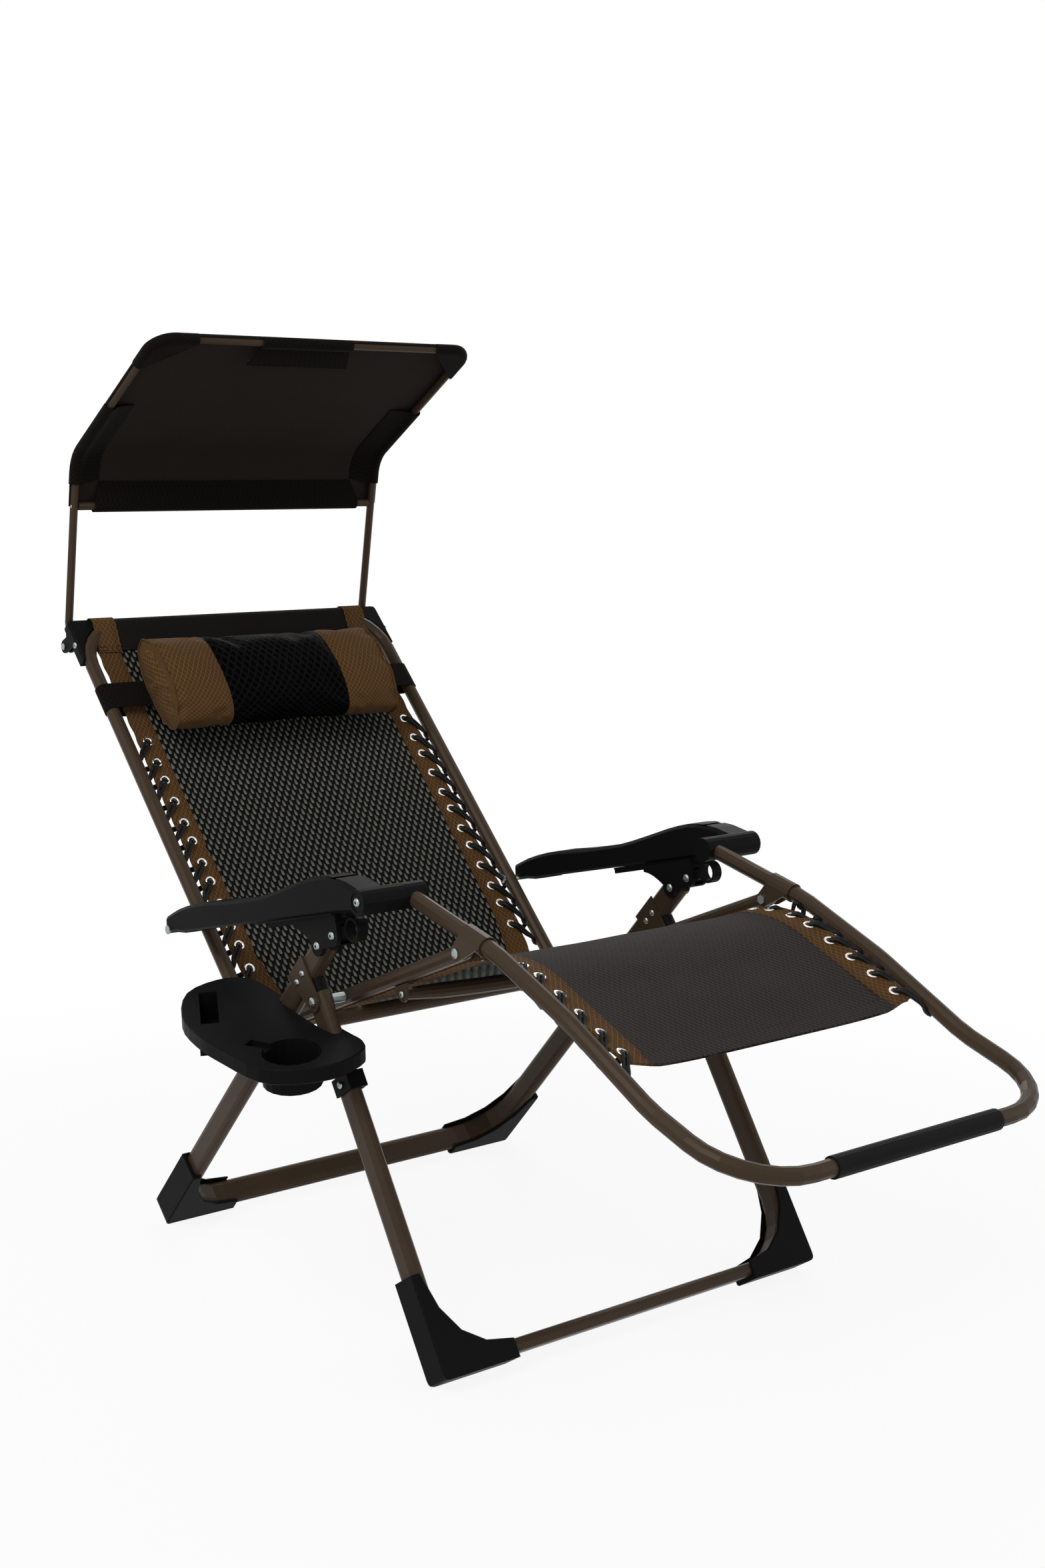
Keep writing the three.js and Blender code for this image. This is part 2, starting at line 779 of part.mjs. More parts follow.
// Plates either side of each leg crossing
const pivotLocal = side(0, -pivotOffset);
const crossTubeLocal = localOf(rearFrame, side(mainPivotY - crossTubeForward, mainPivotZ - crossTubeDrop));
const plateCorner = legTubeDepth / 2 - clearance;
const plateOuterX = legHalfSpan + legTubeWidth / 2 + clearance;
const plateInnerX = legHalfSpan - legTubeWidth / 2 - clearance;

function plateCircles() {
  const corners = [[-plateTop, plateCorner, 0], [plateBottom, plateCorner, 0]];
  return [...corners, [pivotLocal.x, pivotLocal.y, plateLobe]];
}

function rivetHeads(x) {
  return [-rivetFirst, rivetSecond].map((y) => domedHead(rivetRadius, rivetHeight, x, y, 0));
}

function outerPlate() {
  const plate = alongX(hullShape(plateCircles()), plateOuterX, plateOuterX + plateThickness);
  const hole = bore(boltRadius + clearance, plateOuterX - overrun, plateOuterX + overrun, 0, pivotLocal.y);
  const seat = plateOuterX + plateThickness - clearance;
  return cut(join(plate, ...rivetHeads(seat)), hole);
}
addPair(rearFrame, 'outer_leg_plate', outerPlate(), bronze);

function innerPlate() {
  const circles = [...plateCircles(), [crossTubeLocal.x, crossTubeLocal.y, frameTube / 2 + plateThickness]];
  const plate = alongX(hullShape(circles), plateInnerX - plateThickness, plateInnerX);
  const hole = bore(boltRadius + clearance, plateInnerX - overrun, plateInnerX + overrun, 0, pivotLocal.y);
  return cut(plate, hole);
}
addPair(rearFrame, 'inner_leg_plate', innerPlate(), bronze);

// Shouldered bolt through plates, front leg and seat rail
function pivotBolt() {
  const headSeat = plateOuterX + plateThickness + clearance;
  const nutSeat = railHalfSpan - frameTube / 2 - clearance;
  const bolt = boltAcross(boltRadius, headRadius, headSeat, nutSeat, pivotLocal.x, pivotLocal.y);
  const shoulderIn = railHalfSpan + frameTube / 2 + clearance;
  const shoulderOut = plateInnerX - plateThickness - clearance;
  return join(bolt, rod(headRadius, shoulderIn, shoulderOut, pivotLocal.x, pivotLocal.y));
}
addPair(rearFrame, 'pivot_bolt', pivotBolt(), zinc);

const crossTubeHalf = plateInnerX - plateThickness - clearance;
const crossTube = rod(frameTube / 2, -crossTubeHalf, crossTubeHalf, crossTubeLocal.x, crossTubeLocal.y, 16);
add(rearFrame, 'leg_cross_tube', crossTube, bronze);

// Tray on the sitter's right, in its own tilted frame
function trayOutline(grow) {
  const points = trayOutlineShares.map(([out, back]) => {
    const middleOut = trayMiddleOutShare * trayWidth;
    const middleBack = trayMiddleBackShare * trayLength;
    const x = middleOut + (out * trayWidth - middleOut) * (1 + (2 * grow) / trayWidth);
    const y = middleBack + (back * trayLength - middleBack) * (1 + (2 * grow) / trayLength);
    return side(-x, y);
  });
  const shape = new THREE.Shape();
  shape.moveTo(points[0].x, points[0].y);
  shape.splineThru(points.slice(1));
  return shape;
}

// The open side where both legs pass
function trayNotch(margin) {
  const front = localOf(frontFrame, side(trayAnchorY, trayAnchorZ));
  const rearMid = worldOf(rearFrame, (rearOrigin.y - trayAnchorZ) / Math.sin(radians(rearLegSlope)), 0);
  const frontMid = worldOf(frontFrame, front.x, 0);
  const yRear = rearMid.x - trayAnchorY;
  const yFront = frontMid.x - trayAnchorY;
  const gap = block(-trayLegGap - margin, trayWidth, yFront, yRear, -trayWidth, trayWidth);
  const rearLeg = legCutter(rearFrame, -rearTopReach, rearRun, margin);
  const frontLeg = legCutter(frontFrame, -frontTopReach, frontRun, margin);
  return join(gap, rearLeg, frontLeg);
}

// One leg with room around it, in the tray's axes
function legCutter(group, top, bottom, margin) {
  const grow = 2 * (clearance + margin);
  const path = new StationPath(
    [vec(-legHalfSpan, top, 0), vec(-legHalfSpan, bottom, 0)], [vec(0, 1, 0), vec(0, 1, 0)],
  );
  const tube = sweep(path, ovalSection(legTubeDepth + grow, legTubeWidth + grow), 3);
  return carried(tube, group, trayGroup);
}

function cupSolid(grow, top, bottom) {
  const high = cupRadius + grow;
  const geometry = new THREE.CylinderGeometry(high, high - cupTaper, top - bottom, 20);
  geometry.rotateX(Math.PI / 2);
  return geometry.translate(-cupOut, -cupForward, (top + bottom) / 2);
}

function slotSolid(grow, top, bottom) {
  const half = slotWidth / 2 + grow;
  const geometry = block(-half, half, -slotLength / 2 - grow, slotLength / 2 + grow, bottom, top);
  geometry.rotateZ(radians(-slotTurn));
  return geometry.translate(-slotOut, slotRear, 0);
}

function grooveSolid(grow, top, bottom) {
  const half = grooveWidth / 2 + grow;
  const geometry = block(-half, half, 0, grooveReach + grow, bottom, top);
  geometry.rotateZ(radians(slotTurn));
  return geometry.translate(-cupOut, -cupForward, 0);
}

function cupTray() {
  const deck = alongZ(trayOutline(0), -trayRim, 0, trayEdge, 3);
  const inside = alongZ(trayOutline(-trayWall), -trayRim - overrun, -trayThickness, 0, 3);
  const shell = cut(deck, cut(inside, trayNotch(trayWall)));
  const pockets = [
    cupSolid(trayWall, -trayThickness / 2, -cupDepth), slotSolid(trayWall, -trayThickness / 2, -slotDepth),
    grooveSolid(trayWall, -trayThickness / 2, -grooveDepth - trayWall),
  ];
  const rooms = [
    cupSolid(0, overrun, -cupDepth + trayWall), slotSolid(0, overrun, -slotDepth + trayWall),
    grooveSolid(0, overrun, -grooveDepth),
  ];
  return cut(join(shell, ...pockets), ...rooms, trayNotch(0));
}
add(trayGroup, 'cup_tray', cupTray(), blackPlastic);

// Hook round the front leg, open to the rear so that the leg folds out
function trayClip(openRear) {
  const group = openRear ? frontFrame : rearFrame;
  const slope = radians(openRear ? frontLegSlope : rearLegSlope);
  const at = (group.position.z - trayAnchorZ + hookDrop) / Math.sin(slope);
  const inX = legTubeWidth / 2 + clearance;
  const inZ = legTubeDepth / 2 + clearance;
  const x = -legHalfSpan;
  const open = openRear ? inZ - hookWall : inZ + hookWall;
  const low = openRear ? -inZ - hookWall : -inZ + hookWall;
  const outX = inX + hookWall;
  const body = block(x - outX, x + outX, at - hookHeight / 2, at + hookHeight / 2, low, open);
  const room = block(x - inX, x + inX, at - hookHeight, at + hookHeight, -inZ, inZ);
  const throat = openRear
    ? block(x - inX, x + inX, at - hookHeight, at + hookHeight, 0, inZ + hookWall + overrun)
    : block(x - inX, x + inX, at - hookHeight, at + hookHeight, -inZ - hookWall - overrun, 0);
  const head = mirrored(domedHead(smallHeadRadius, headHeight, legHalfSpan + outX - clearance, at, 0));
  return join(cut(body, room, throat), head);
}
add(rearFrame, 'tray_front_hook', carried(trayClip(true), frontFrame, rearFrame), blackPlastic);
add(rearFrame, 'tray_rear_clip', trayClip(false), blackPlastic);

// Seat rails, round with a flattened rear end and a rounded front eye
function seatRail() {
  const r = frameTube / 2;
  const flatStart = railToRear - railFlatLength;
  const stations = [
    ...railNoseShares.map(([past, high]) => [-railToFront - past * r, r, high * r]),
    [flatStart - railFlatRun, r, r], [flatStart, railFlat / 2, railFlatDepth / 2],
    [railToRear + railEndReach / 2, railFlat / 2, railFlatDepth / 2],
    [railToRear + railEndReach, railFlat / 2, railFlatDepth / 4],
  ];
  const rings = stations.map(([y, halfX, halfZ]) => (
    ringOf(vec(railHalfSpan, y, 0), vec(0, 0, 1), xAxis, halfZ, halfX, 12, 2)
  ));
  const low = railHalfSpan - frameTube;
  const high = railHalfSpan + frameTube;
  const holes = [-railToFront, 0, railToRear].map((y) => bore(boltRadius + clearance, low, high, y, 0));
  return cut(loft(rings), ...holes);
}
addPair(railFrame, 'seat_rail', seatRail(), bronze);

// Tab under each rail for the bowed bar
function railTab() {
  const top = -frameTube / 2 - clearance;
  const x = railHalfSpan + tabPlate / 2;
  const circles = [
    [-tabAlong, -tabDrop, tabLobe], [-tabAlong - tabHalfLength, top, 0], [-tabAlong + tabHalfLength, top, 0],
  ];
  const plate = alongX(hullShape(circles), x, x + tabPlate);
  const webY = -tabAlong - tabHalfLength;
  const web = block(x - railFlat, x + tabPlate, webY, webY + 2 * tabHalfLength, top - tabPlate, top);
  const head = domedHead(smallHeadRadius, headHeight, x + tabPlate - clearance, -tabAlong, -tabDrop);
  return join(plate, web, head);
}
addPair(railFrame, 'rail_tab', railTab(), bronze);

function bowedBar() {
  const end = railHalfSpan + tabPlate / 2 - clearance;
  const r = frameTube / 2;
  const places = [...barShares.slice(1).map((share) => -share).reverse(), ...barShares];
  const rings = places.map((share) => {
    const x = share * end;
    const flat = Math.max(0, 1 - (end - Math.abs(x)) / barEndRun);
    const half = r + (barEndDepth - r) * flat;
    const z = -tabDrop - barBow * (1 - share * share);
    return ringOf(vec(x, -tabAlong, z), vec(0, 1, 0), vec(0, 0, 1), half, half, 12, 2);
  });
  return loft(rings);
}
add(railFrame, 'bowed_cross_bar', bowedBar(), bronze);

// Back frame: one bent tube on the two rear bolts
function backTube() {
  const corners = [
    vec(-backHalfSpan, -backEndReach, 0), vec(-backHalfSpan, backLength, 0),
    vec(backHalfSpan, backLength, 0), vec(backHalfSpan, -backEndReach, 0),
  ];
  const tube = sweep(bentPath(corners, [backBend, backBend], 13), roundSection(frameTube), 6);
  const edge = backHalfSpan + frameTube;
  const holes = [0, armPivotAlong].map((y) => bore(boltRadius + clearance, -edge, edge, y, 0));
  return cut(tube, ...holes);
}
add(backFrame, 'back_frame', backTube(), bronze);

function reclineBolt() {
  const headSeat = backHalfSpan + frameTube / 2 + clearance;
  const nutSeat = railHalfSpan - railFlat / 2 - clearance;
  return boltAcross(boltRadius, headRadius, headSeat, nutSeat, 0, 0);
}
addPair(backFrame, 'recline_bolt', reclineBolt(), zinc);

// Corner caps with an ear clevis behind for the canopy posts
const capSize = {
  tubeHalf: frameTube / 2, wall: capWall, plate: capWall, channelHalf: frameTube / 2 + clearance,
  legArm: capLegArm, barArm: capBarArm, tip: capTip, lip: 0, cornerRadius: capCornerRadius,
  edge: capEdge, bend: backBend, front: capFront, channelTop: capFront + overrun,
};

function canopyEar(xFrom, xTo) {
  const root = -capSize.channelHalf - capWall / 2;
  const circles = [
    [earAlong, -earBehind, earLobe], [earAlong - earFoot, root, 0], [earAlong - clearance, root, 0],
  ];
  return alongX(hullShape(circles), xFrom, xTo);
}

function cornerCap() {
  const half = postFlat / 2 + clearance;
  const ears = [
    canopyEar(canopyHalfSpan + half, canopyHalfSpan + half + earPlate),
    canopyEar(canopyHalfSpan - half - earPlate, canopyHalfSpan - half),
  ];
  const hole = bore(
    smallBoltRadius + clearance, canopyHalfSpan - frameTube, canopyHalfSpan + frameTube, earAlong, -earBehind,
  );
  const face = backHalfSpan + frameTube / 2 + clearance + capWall - clearance;
  const screw = domedHead(rivetRadius, rivetHeight, face, backLength - capLegArm / 2, 0);
  return join(cut(join(cornerShoe(backHalfSpan, backLength, capSize), ...ears), hole), screw);
}
addPair(backFrame, 'corner_cap', cornerCap(), blackPlastic);

function canopyBolt() {
  const reach = postFlat / 2 + clearance + earPlate + clearance;
  const bolt = boltAcross(
    smallBoltRadius, smallHeadRadius, canopyHalfSpan + reach, canopyHalfSpan - reach, earAlong, -earBehind,
  );
  return bolt;
}
addPair(backFrame, 'canopy_bolt', canopyBolt(), zinc);

// Canopy frame, in a frame at the ears with y back and z up
const shoulder = side(-canopyShoulderForward, canopyShoulderRise);
const canopyFront = side(-canopyFrontForward, canopyFrontRise);
const postUp = shoulder.clone().normalize();

function canopyPath(foot) {
  const start = postUp.clone().multiplyScalar(foot);
  const sideLine = [start, shoulder, canopyFront];
  const right = sideLine.map((point) => vec(-canopyHalfSpan, point.x, point.y));
  const left = sideLine.map((point) => vec(canopyHalfSpan, point.x, point.y)).reverse();
  const corners = [...right, ...left];
  const radii = [canopyShoulderBend, canopyCornerBend, canopyCornerBend, canopyShoulderBend];
  return bentPath(corners, radii, 16);
}

function canopyTubeFrame() {
  const r = canopyTube / 2;
  const flat = postFlat / 2;
  const wide = postFlatDepth / 2;
  const foot = [
    ...postEndShares.map(([past, deep]) => [-past * wide, flat, deep * wide]),
    [0, flat, wide], [postFlatLength, flat, wide],
  ];
  const path = canopyPath(postFlatLength + postFlatRun);
  const up = vec(0, postUp.x, postUp.y);
  const down = up.clone().negate();
  const at = (x, run) => vec(x, postUp.x * run, postUp.y * run);
  const sizes = foot.map(([, halfX, halfDeep]) => [halfX, halfDeep]);
  const points = [
    ...foot.map(([run]) => at(-canopyHalfSpan, run)), ...path.points,
    ...foot.map(([run]) => at(canopyHalfSpan, run)).reverse(),
  ];
  const tangents = [...foot.map(() => up), ...path.tangents, ...foot.map(() => down)];
  const allSizes = [...sizes, ...path.points.map(() => [r, r]), ...[...sizes].reverse()];
  const tube = variedTube(new StationPath(points, tangents), allSizes, canopySides);
  const edge = canopyHalfSpan + canopyTube;
  return cut(tube, bore(smallBoltRadius + clearance, -edge, edge, 0, 0));
}
add(canopyGroup, 'canopy_frame', canopyTubeFrame(), bronze);

const canopyBarY = (shoulder.x * canopyBarRise) / shoulder.y;
const canopyBarHalf = canopyHalfSpan - canopyTube / 2 - clearance;
const canopyBar = rod(canopyTube / 2, -canopyBarHalf, canopyBarHalf, canopyBarY, canopyBarRise, 12);
add(canopyGroup, 'canopy_cross_bar', canopyBar, bronze);

// Band between two offsets from a bent line in the side view
function bandShape(path, from, to) {
  const edge = (offset) => path.points.map((point, i) => {
    const tangent = path.tangents[i];
    return side(point.y + tangent.z * offset, point.z - tangent.y * offset);
  });
  return new THREE.Shape([...edge(to), ...edge(from).reverse()]);
}

// Canopy cloth: top sheet, side skirts, corner pockets and the flaps round the bars
function canopyCover() {
  const room = (canopyTube / 2 + clearance) / Math.cos(Math.PI / canopySides);
  const inner = room + clearance / 3;
  const outer = inner + coverThickness;
  const rear = side(canopyBarY, canopyBarRise).addScaledVector(postUp, -coverRearDrop);
  const top = vec(0, rear.x, rear.y);
  const corners = [top, vec(0, shoulder.x, shoulder.y), vec(0, canopyFront.x, canopyFront.y)];
  const path = bentPath(corners, [canopyShoulderBend], 11);
  const half = canopyHalfSpan + inner;
  const sheet = alongX(bandShape(path, inner, outer), -half - coverThickness, half + coverThickness);
  const skirt = alongX(bandShape(path, inner - coverSkirt, outer), half, half + coverThickness);
  const wraps = [
    barWrap(canopyFront, outer, -coverFlapHalf, coverFlapHalf),
    barWrap(canopyFront, outer, half - coverPocket, half + coverThickness),
    barWrap(side(canopyBarY, canopyBarRise), outer, -rearFlapHalf, rearFlapHalf),
  ];
  const edges = [skirt, mirrored(skirt), ...wraps, mirrored(wraps[1])];
  const cloth = join(sheet, ...edges, ...cornerPockets(inner, outer, half));
  return cut(cloth, barRoom(half), canopyRoom(room));
}

// Ring of cloth round a cross bar
function barWrap(centre, radius, from, to) {
  return rod(radius, from, to, centre.x, centre.y, 12);
}

function barRoom(half) {
  const inner = canopyTube / 2 + clearance;
  const reach = half - clearance;
  const straight = reach - canopyCornerBend;
  const front = bore(inner, -straight, straight, canopyFront.x, canopyFront.y, 12);
  const rear = bore(inner, -reach, reach, canopyBarY, canopyBarRise, 12);
  return join(front, rear);
}

// Room for the bent tube inside the cloth
function canopyRoom(radius) {
  const path = canopyPath(canopyBarRise / 2);
  return variedTube(path, path.points.map(() => [radius, radius]), canopySides);
}

// Triangular lower sheets that hold the front corners
function cornerPockets(inner, outer, half) {
  const along = shoulder.clone().sub(canopyFront).normalize();
  const down = side(along.y, -along.x);
  const shape = new THREE.Shape();
  shape.moveTo(half + coverThickness, -outer + coverThickness);
  shape.lineTo(half + coverThickness, coverPocket);
  shape.lineTo(half - coverThickness, coverPocket);
  shape.lineTo(half - coverPocket, -outer + coverThickness);
  const plate = alongZ(shape, -outer, -inner);
  const matrix = new THREE.Matrix4().makeBasis(xAxis, vec(0, along.x, along.y), vec(0, -down.x, -down.y));
  plate.applyMatrix4(matrix);
  plate.translate(0, canopyFront.x, canopyFront.y);
  return [plate, mirrored(plate)];
}
add(canopyGroup, 'canopy_cover', canopyCover(), canopyFabric);

// Leg rest frame: side tubes from the barrels, joined by the foot bar
const barrelAt = side(barrelY, kneeTubeAt(barrelY));
const legTubeStart = side(barrelY - barrelSocketDepth, kneeTubeAt(barrelY - barrelSocketDepth));
const legRestCorners = [
  side(-legRestFirstBend, kneeTubeAt(-legRestFirstBend)), side(-legRestSecondBendY, -legRestSecondBendDrop),
  side(-legRestThirdBendY, -legRestThirdBendDrop), side(-footBarY, -footBarDrop),
];

function legRestPath() {
  const half = railHalfSpan;
  const right = [legTubeStart, ...legRestCorners].map((point) => vec(-half, point.x, point.y));
  const left = [legTubeStart, ...legRestCorners].map((point) => vec(half, point.x, point.y)).reverse();
  const radii = [softBend, softBend, softBend, footBarBend, footBarBend, softBend, softBend, softBend];
  return bentPath([...right, ...left], radii, 13);
}

function legRestTube() {
  return sweep(legRestPath(), roundSection(frameTube), 6);
}
add(legRestFrame, 'leg_rest_frame', legRestTube(), bronze);

// Sheet saddle over the tube with two ears down to the knee bolt
function clampBracket() {
  const tubeDirection = side(1, Math.tan(radians(kneeTubeSlope))).normalize();
  const bend = softBend * Math.tan(radians(kneeTubeSlope));
  const front = Math.min(clampSleeveFront, legRestFirstBend - bend / 2);
  const ends = [-clampSleeveRear, -front].map((y) => side(y, kneeTubeAt(y)));
  const path = new StationPath(
    ends.map((p) => vec(railHalfSpan, p.x, p.y)),
    ends.map(() => vec(0, -tubeDirection.x, -tubeDirection.y)),
  );
  const inner = frameTube / 2 + clearance;
  const outer = inner + clampSheet;
  const sleeve = sweep(path, roundSection(2 * outer), sleeveFacets);
  const circles = [[0, 0, clampLobe], [ends[0].x, ends[0].y, 0], [ends[1].x, ends[1].y, 0]];
  const ears = [inner, -outer].map((x) => railHalfSpan + x)
    .map((x) => alongX(hullShape(circles), x, x + clampSheet));
  const roomEnds = [barrelY, -legRestSecondBendY].map((y) => vec(railHalfSpan, y, kneeTubeAt(y)));
  const room = sweep(
    new StationPath(roomEnds, ends.map(() => vec(0, -tubeDirection.x, -tubeDirection.y))),
    roomSection(2 * inner), sleeveFacets,
  );
  const hole = bore(boltRadius + clearance, railHalfSpan - frameTube, railHalfSpan + frameTube, 0, 0);
  return cut(join(sleeve, ...ears), room, hole);
}
addPair(legRestFrame, 'clamp_bracket', clampBracket(), bronze);

function clampBolt() {
  const reach = frameTube / 2 + clearance + clampSheet + clearance;
  return boltAcross(boltRadius, headRadius, railHalfSpan + reach, railHalfSpan - reach, 0, 0);
}
addPair(legRestFrame, 'clamp_bolt', clampBolt(), zinc);

// Turning sleeve of the barrel, socketed on the end of the leg rest tube
function barrelSleeve() {
  const body = rod(barrelRadius, barrelInner, barrelSplit - clearance, barrelAt.x, barrelAt.y, 18);
  const direction = vec(0, -Math.cos(radians(kneeTubeSlope)), -Math.sin(radians(kneeTubeSlope)));
  const from = vec(railHalfSpan, legTubeStart.x, legTubeStart.y).addScaledVector(direction, -clearance);
  const to = from.clone().addScaledVector(direction, 3 * barrelRadius);
  const path = new StationPath([from, to], [direction, direction]);
  const room = sweep(path, roomSection(frameTube + 2 * clearance), sleeveFacets);
  return cut(body, room);
}
addPair(legRestFrame, 'barrel_sleeve', barrelSleeve(), blackPlastic);

function footGrip() {
  const r = frameTube / 2;
  const body = rod(r + clearance + gripWall, -gripHalfLength, gripHalfLength, -footBarY, -footBarDrop, 16);
  const past = gripHalfLength + overrun;
  const room = bore(r + clearance, -past, past, -footBarY, -footBarDrop, 16);
  return cut(body, room);
}
add(legRestFrame, 'foot_grip', footGrip(), blackPlastic);

// Armrest: hollow moulding, open below, with the fixed part of the barrel
function armProfile(drop, rear, front) {
  const top = armTopShares.map(([along, high]) => side(-along * armLength, high * armHump - drop));
  const kept = top.filter((point) => point.x < rear && point.x > -front);
  return kept;
}

function armOutline() {
  const top = armProfile(0, armLength, armLength);
  const shape = new THREE.Shape();
  shape.moveTo(armRearReach, -armRearDrop);
  shape.lineTo(top[0].x, top[0].y);
  shape.splineThru(top.slice(1));
  shape.lineTo(-armLength, armTipHigh);
  shape.lineTo(-armLength, -armTipLow);
  shape.lineTo(-armCavityFront, -armUnder - armEdge / 2);
  shape.lineTo(-armCavityRear, -armUnder);
  shape.lineTo(-armCavityRear / 2, -armUnder + armEdge / 2);
  return shape;
}

function armCavity() {
  const top = armProfile(armWall, -armCavityRear, armCavityFront);
  const shape = new THREE.Shape();
  shape.moveTo(-armCavityRear, -barrelRadius * 2);
  shape.lineTo(top[0].x, top[0].y);
  shape.splineThru(top.slice(1));
  shape.lineTo(-armCavityFront, top[top.length - 1].y);
  shape.lineTo(-armCavityFront, -barrelRadius * 2);
  return alongX(shape, armInner + armWall, armOuter - armWall, 0, 2);
}

function armrest() {
  const body = alongX(armOutline(), armInner, armOuter, armEdge, 2);
  const tube = rod(barrelRadius, barrelSplit, armOuter, -armLength, 0, 18);
  const recess = rod(barrelRecessRadius, armOuter - barrelRecess, armOuter + overrun, -armLength, 0, 14);
  const scoop = new THREE.SphereGeometry(1, 10, 6);
  scoop.scale(scoopHalfWidth, scoopLength, scoopDepth * 2);
  const scoopHeight = armHump * scoopHeightShare + scoopDepth;
  scoop.translate((armInner + armOuter) / 2, -scoopAlong, scoopHeight);
  const hole = bore(boltRadius + clearance, armInner - overrun, armOuter + overrun, 0, 0);
  const head = domedHead(smallHeadRadius, headHeight, armOuter - barrelRecess - clearance, -armLength, 0);
  return join(cut(join(cut(body, armCavity()), tube), recess, scoop, hole), head);
}
addPair(armFrame, 'armrest', armrest(), blackPlastic);

// Track under the armrest, gripped by the lock
function armTrack() {
  const x0 = armInner + armWall + clearance;
  const x1 = armOuter - armWall - clearance;
  const top = -armUnder;
  const flange = block(x0, x1, -trackFront, -trackRear, top - trackFlange, top);
  const ribX = legHalfSpan - trackRibWidth / 2;
  const ribLow = top - trackFlange - trackRib;
  const rib = block(ribX, ribX + trackRibWidth, -trackFront, -trackRear, ribLow, top - trackFlange / 2);
  return join(flange, rib);
}
addPair(armFrame, 'armrest_track', armTrack(), blackPlastic);

function armBolt() {
  const headSeat = armOuter + clearance;
  const nutSeat = backHalfSpan - frameTube / 2 - clearance;
  return boltAcross(boltRadius, headRadius, headSeat, nutSeat, 0, 0);
}
addPair(armFrame, 'armrest_bolt', armBolt(), zinc);

// Lock housing: two cheeks over the leg top, sliding on the armrest track
function lockOutline() {
  const lockTop = aboveLockPin(-armUnder - trackFlange) - 2 * clearance;
  const shape = new THREE.Shape();
  shape.moveTo(lockWing, lockTop);
  shape.lineTo(-lockNose, lockTop);
  shape.lineTo(-lockNose, lockPinRise);
  shape.absarc(-lockPinForward, lockPinRise, lockNoseLobe, Math.PI, Math.PI * 1.6, false);
  shape.lineTo(-lockLug, -lockLug / 3);
  shape.absarc(0, 0, lockLug, Math.PI * 1.1, Math.PI * 2.12, false);
  const tail = side(lockWing * lockTailShares[0], lockWingLow * lockTailShares[1]);
  shape.quadraticCurveTo(tail.x, tail.y, lockWing, lockWingLow);
  return shape;
}

function lockHousing() {
  const inner = legTubeWidth / 2 + clearance;
  const x = legHalfSpan;
  const body = alongX(lockOutline(), x - inner - lockCheek, x + inner + lockCheek, 0, 4);
  const legAngle = armSlope - rearLegSlope;
  const swing = [-legSwing, 0, legSwing].map((turn) => {
    const d = sideDirection(legAngle + turn);
    return [d.x * lockPocketReach, d.y * lockPocketReach, legTubeDepth / 2 + 2 * clearance];
  });
  const pinToEnd = Math.hypot(lockPinFromTop, legTubeDepth / 2) + 2 * clearance;
  const pocket = alongX(hullShape([[0, 0, pinToEnd], ...swing], 16), x - inner, x + inner);
  const leverReach = leverHub + leverRoom;
  const leverHalf = leverWidth / 2 + 2 * clearance;
  const leverSpace = alongX(hullShape(leverCircles(leverReach, leverReach)), x - leverHalf, x + leverHalf);
  const channelFloor = aboveLockPin(-armUnder - trackFlange - trackRib) - 2 * clearance;
  const half = trackRibWidth / 2 + clearance;
  const rear = lockWing + overrun;
  const channel = block(x - half, x + half, -lockNose - overrun, rear, channelFloor, rear);
  const outside = x + inner + lockCheek - clearance;
  const inside = x - inner - lockCheek + clearance;
  const pinPlaces = [[0, 0, boltRadius], [-lockPinForward, lockPinRise, smallBoltRadius]];
  const pins = pinPlaces.flatMap(([y, z, radius]) => [
    rod(radius, inside, outside, y, z), domedHead(smallHeadRadius, rivetHeight, outside, y, z),
  ]);
  return join(cut(body, pocket, leverSpace, channel), ...pins);
}

// Height over the lock pin of a level in the armrest's frame
function aboveLockPin(level) {
  return localOf(lockFrame, worldOf(armFrame, -armLength / 2, level)).y;
}

// Outline circles of the lever, at rest and pulled down
function leverCircles(hub, arm) {
  const swing = sideDirection(leverSwing);
  const dy = lockPinForward - ringForward;
  const dz = ringRise - lockPinRise;
  const low = side(dy * swing.x - dz * swing.y, dy * swing.y + dz * swing.x);
  return [
    [-lockPinForward, lockPinRise, hub], [-ringForward, ringRise, arm],
    [-lockPinForward + low.x, lockPinRise + low.y, arm],
  ];
}
addPair(lockFrame, 'lock_housing', lockHousing(), blackPlastic);

function lockLever() {
  const x0 = legHalfSpan - leverWidth / 2;
  const x1 = legHalfSpan + leverWidth / 2;
  const neck = alongX(hullShape([
    [-lockPinForward, lockPinRise, leverHub], [-ringForward + ringInner, ringRise, leverArm],
  ]), x0, x1);
  const ring = rod(ringOuter, x0, x1, -ringForward, ringRise, 18);
  const finger = bore(ringInner, x0 - overrun, x1 + overrun, -ringForward, ringRise, 18);
  const hole = bore(smallBoltRadius + clearance, x0 - overrun, x1 + overrun, -lockPinForward, lockPinRise);
  return cut(join(neck, ring), finger, hole);
}
addPair(lockFrame, 'lock_lever', lockLever(), blackPlastic);

// Sling: one line down the back, round the hip, along the seat and over the knee
function meet(pointA, slopeA, pointB, slopeB) {
  const a = sideDirection(slopeA);
  const b = sideDirection(slopeB);
  const gap = pointB.clone().sub(pointA);
  const run = (gap.x * b.y - gap.y * b.x) / (a.x * b.y - a.y * b.x);
  return pointA.clone().addScaledVector(a, run);
}

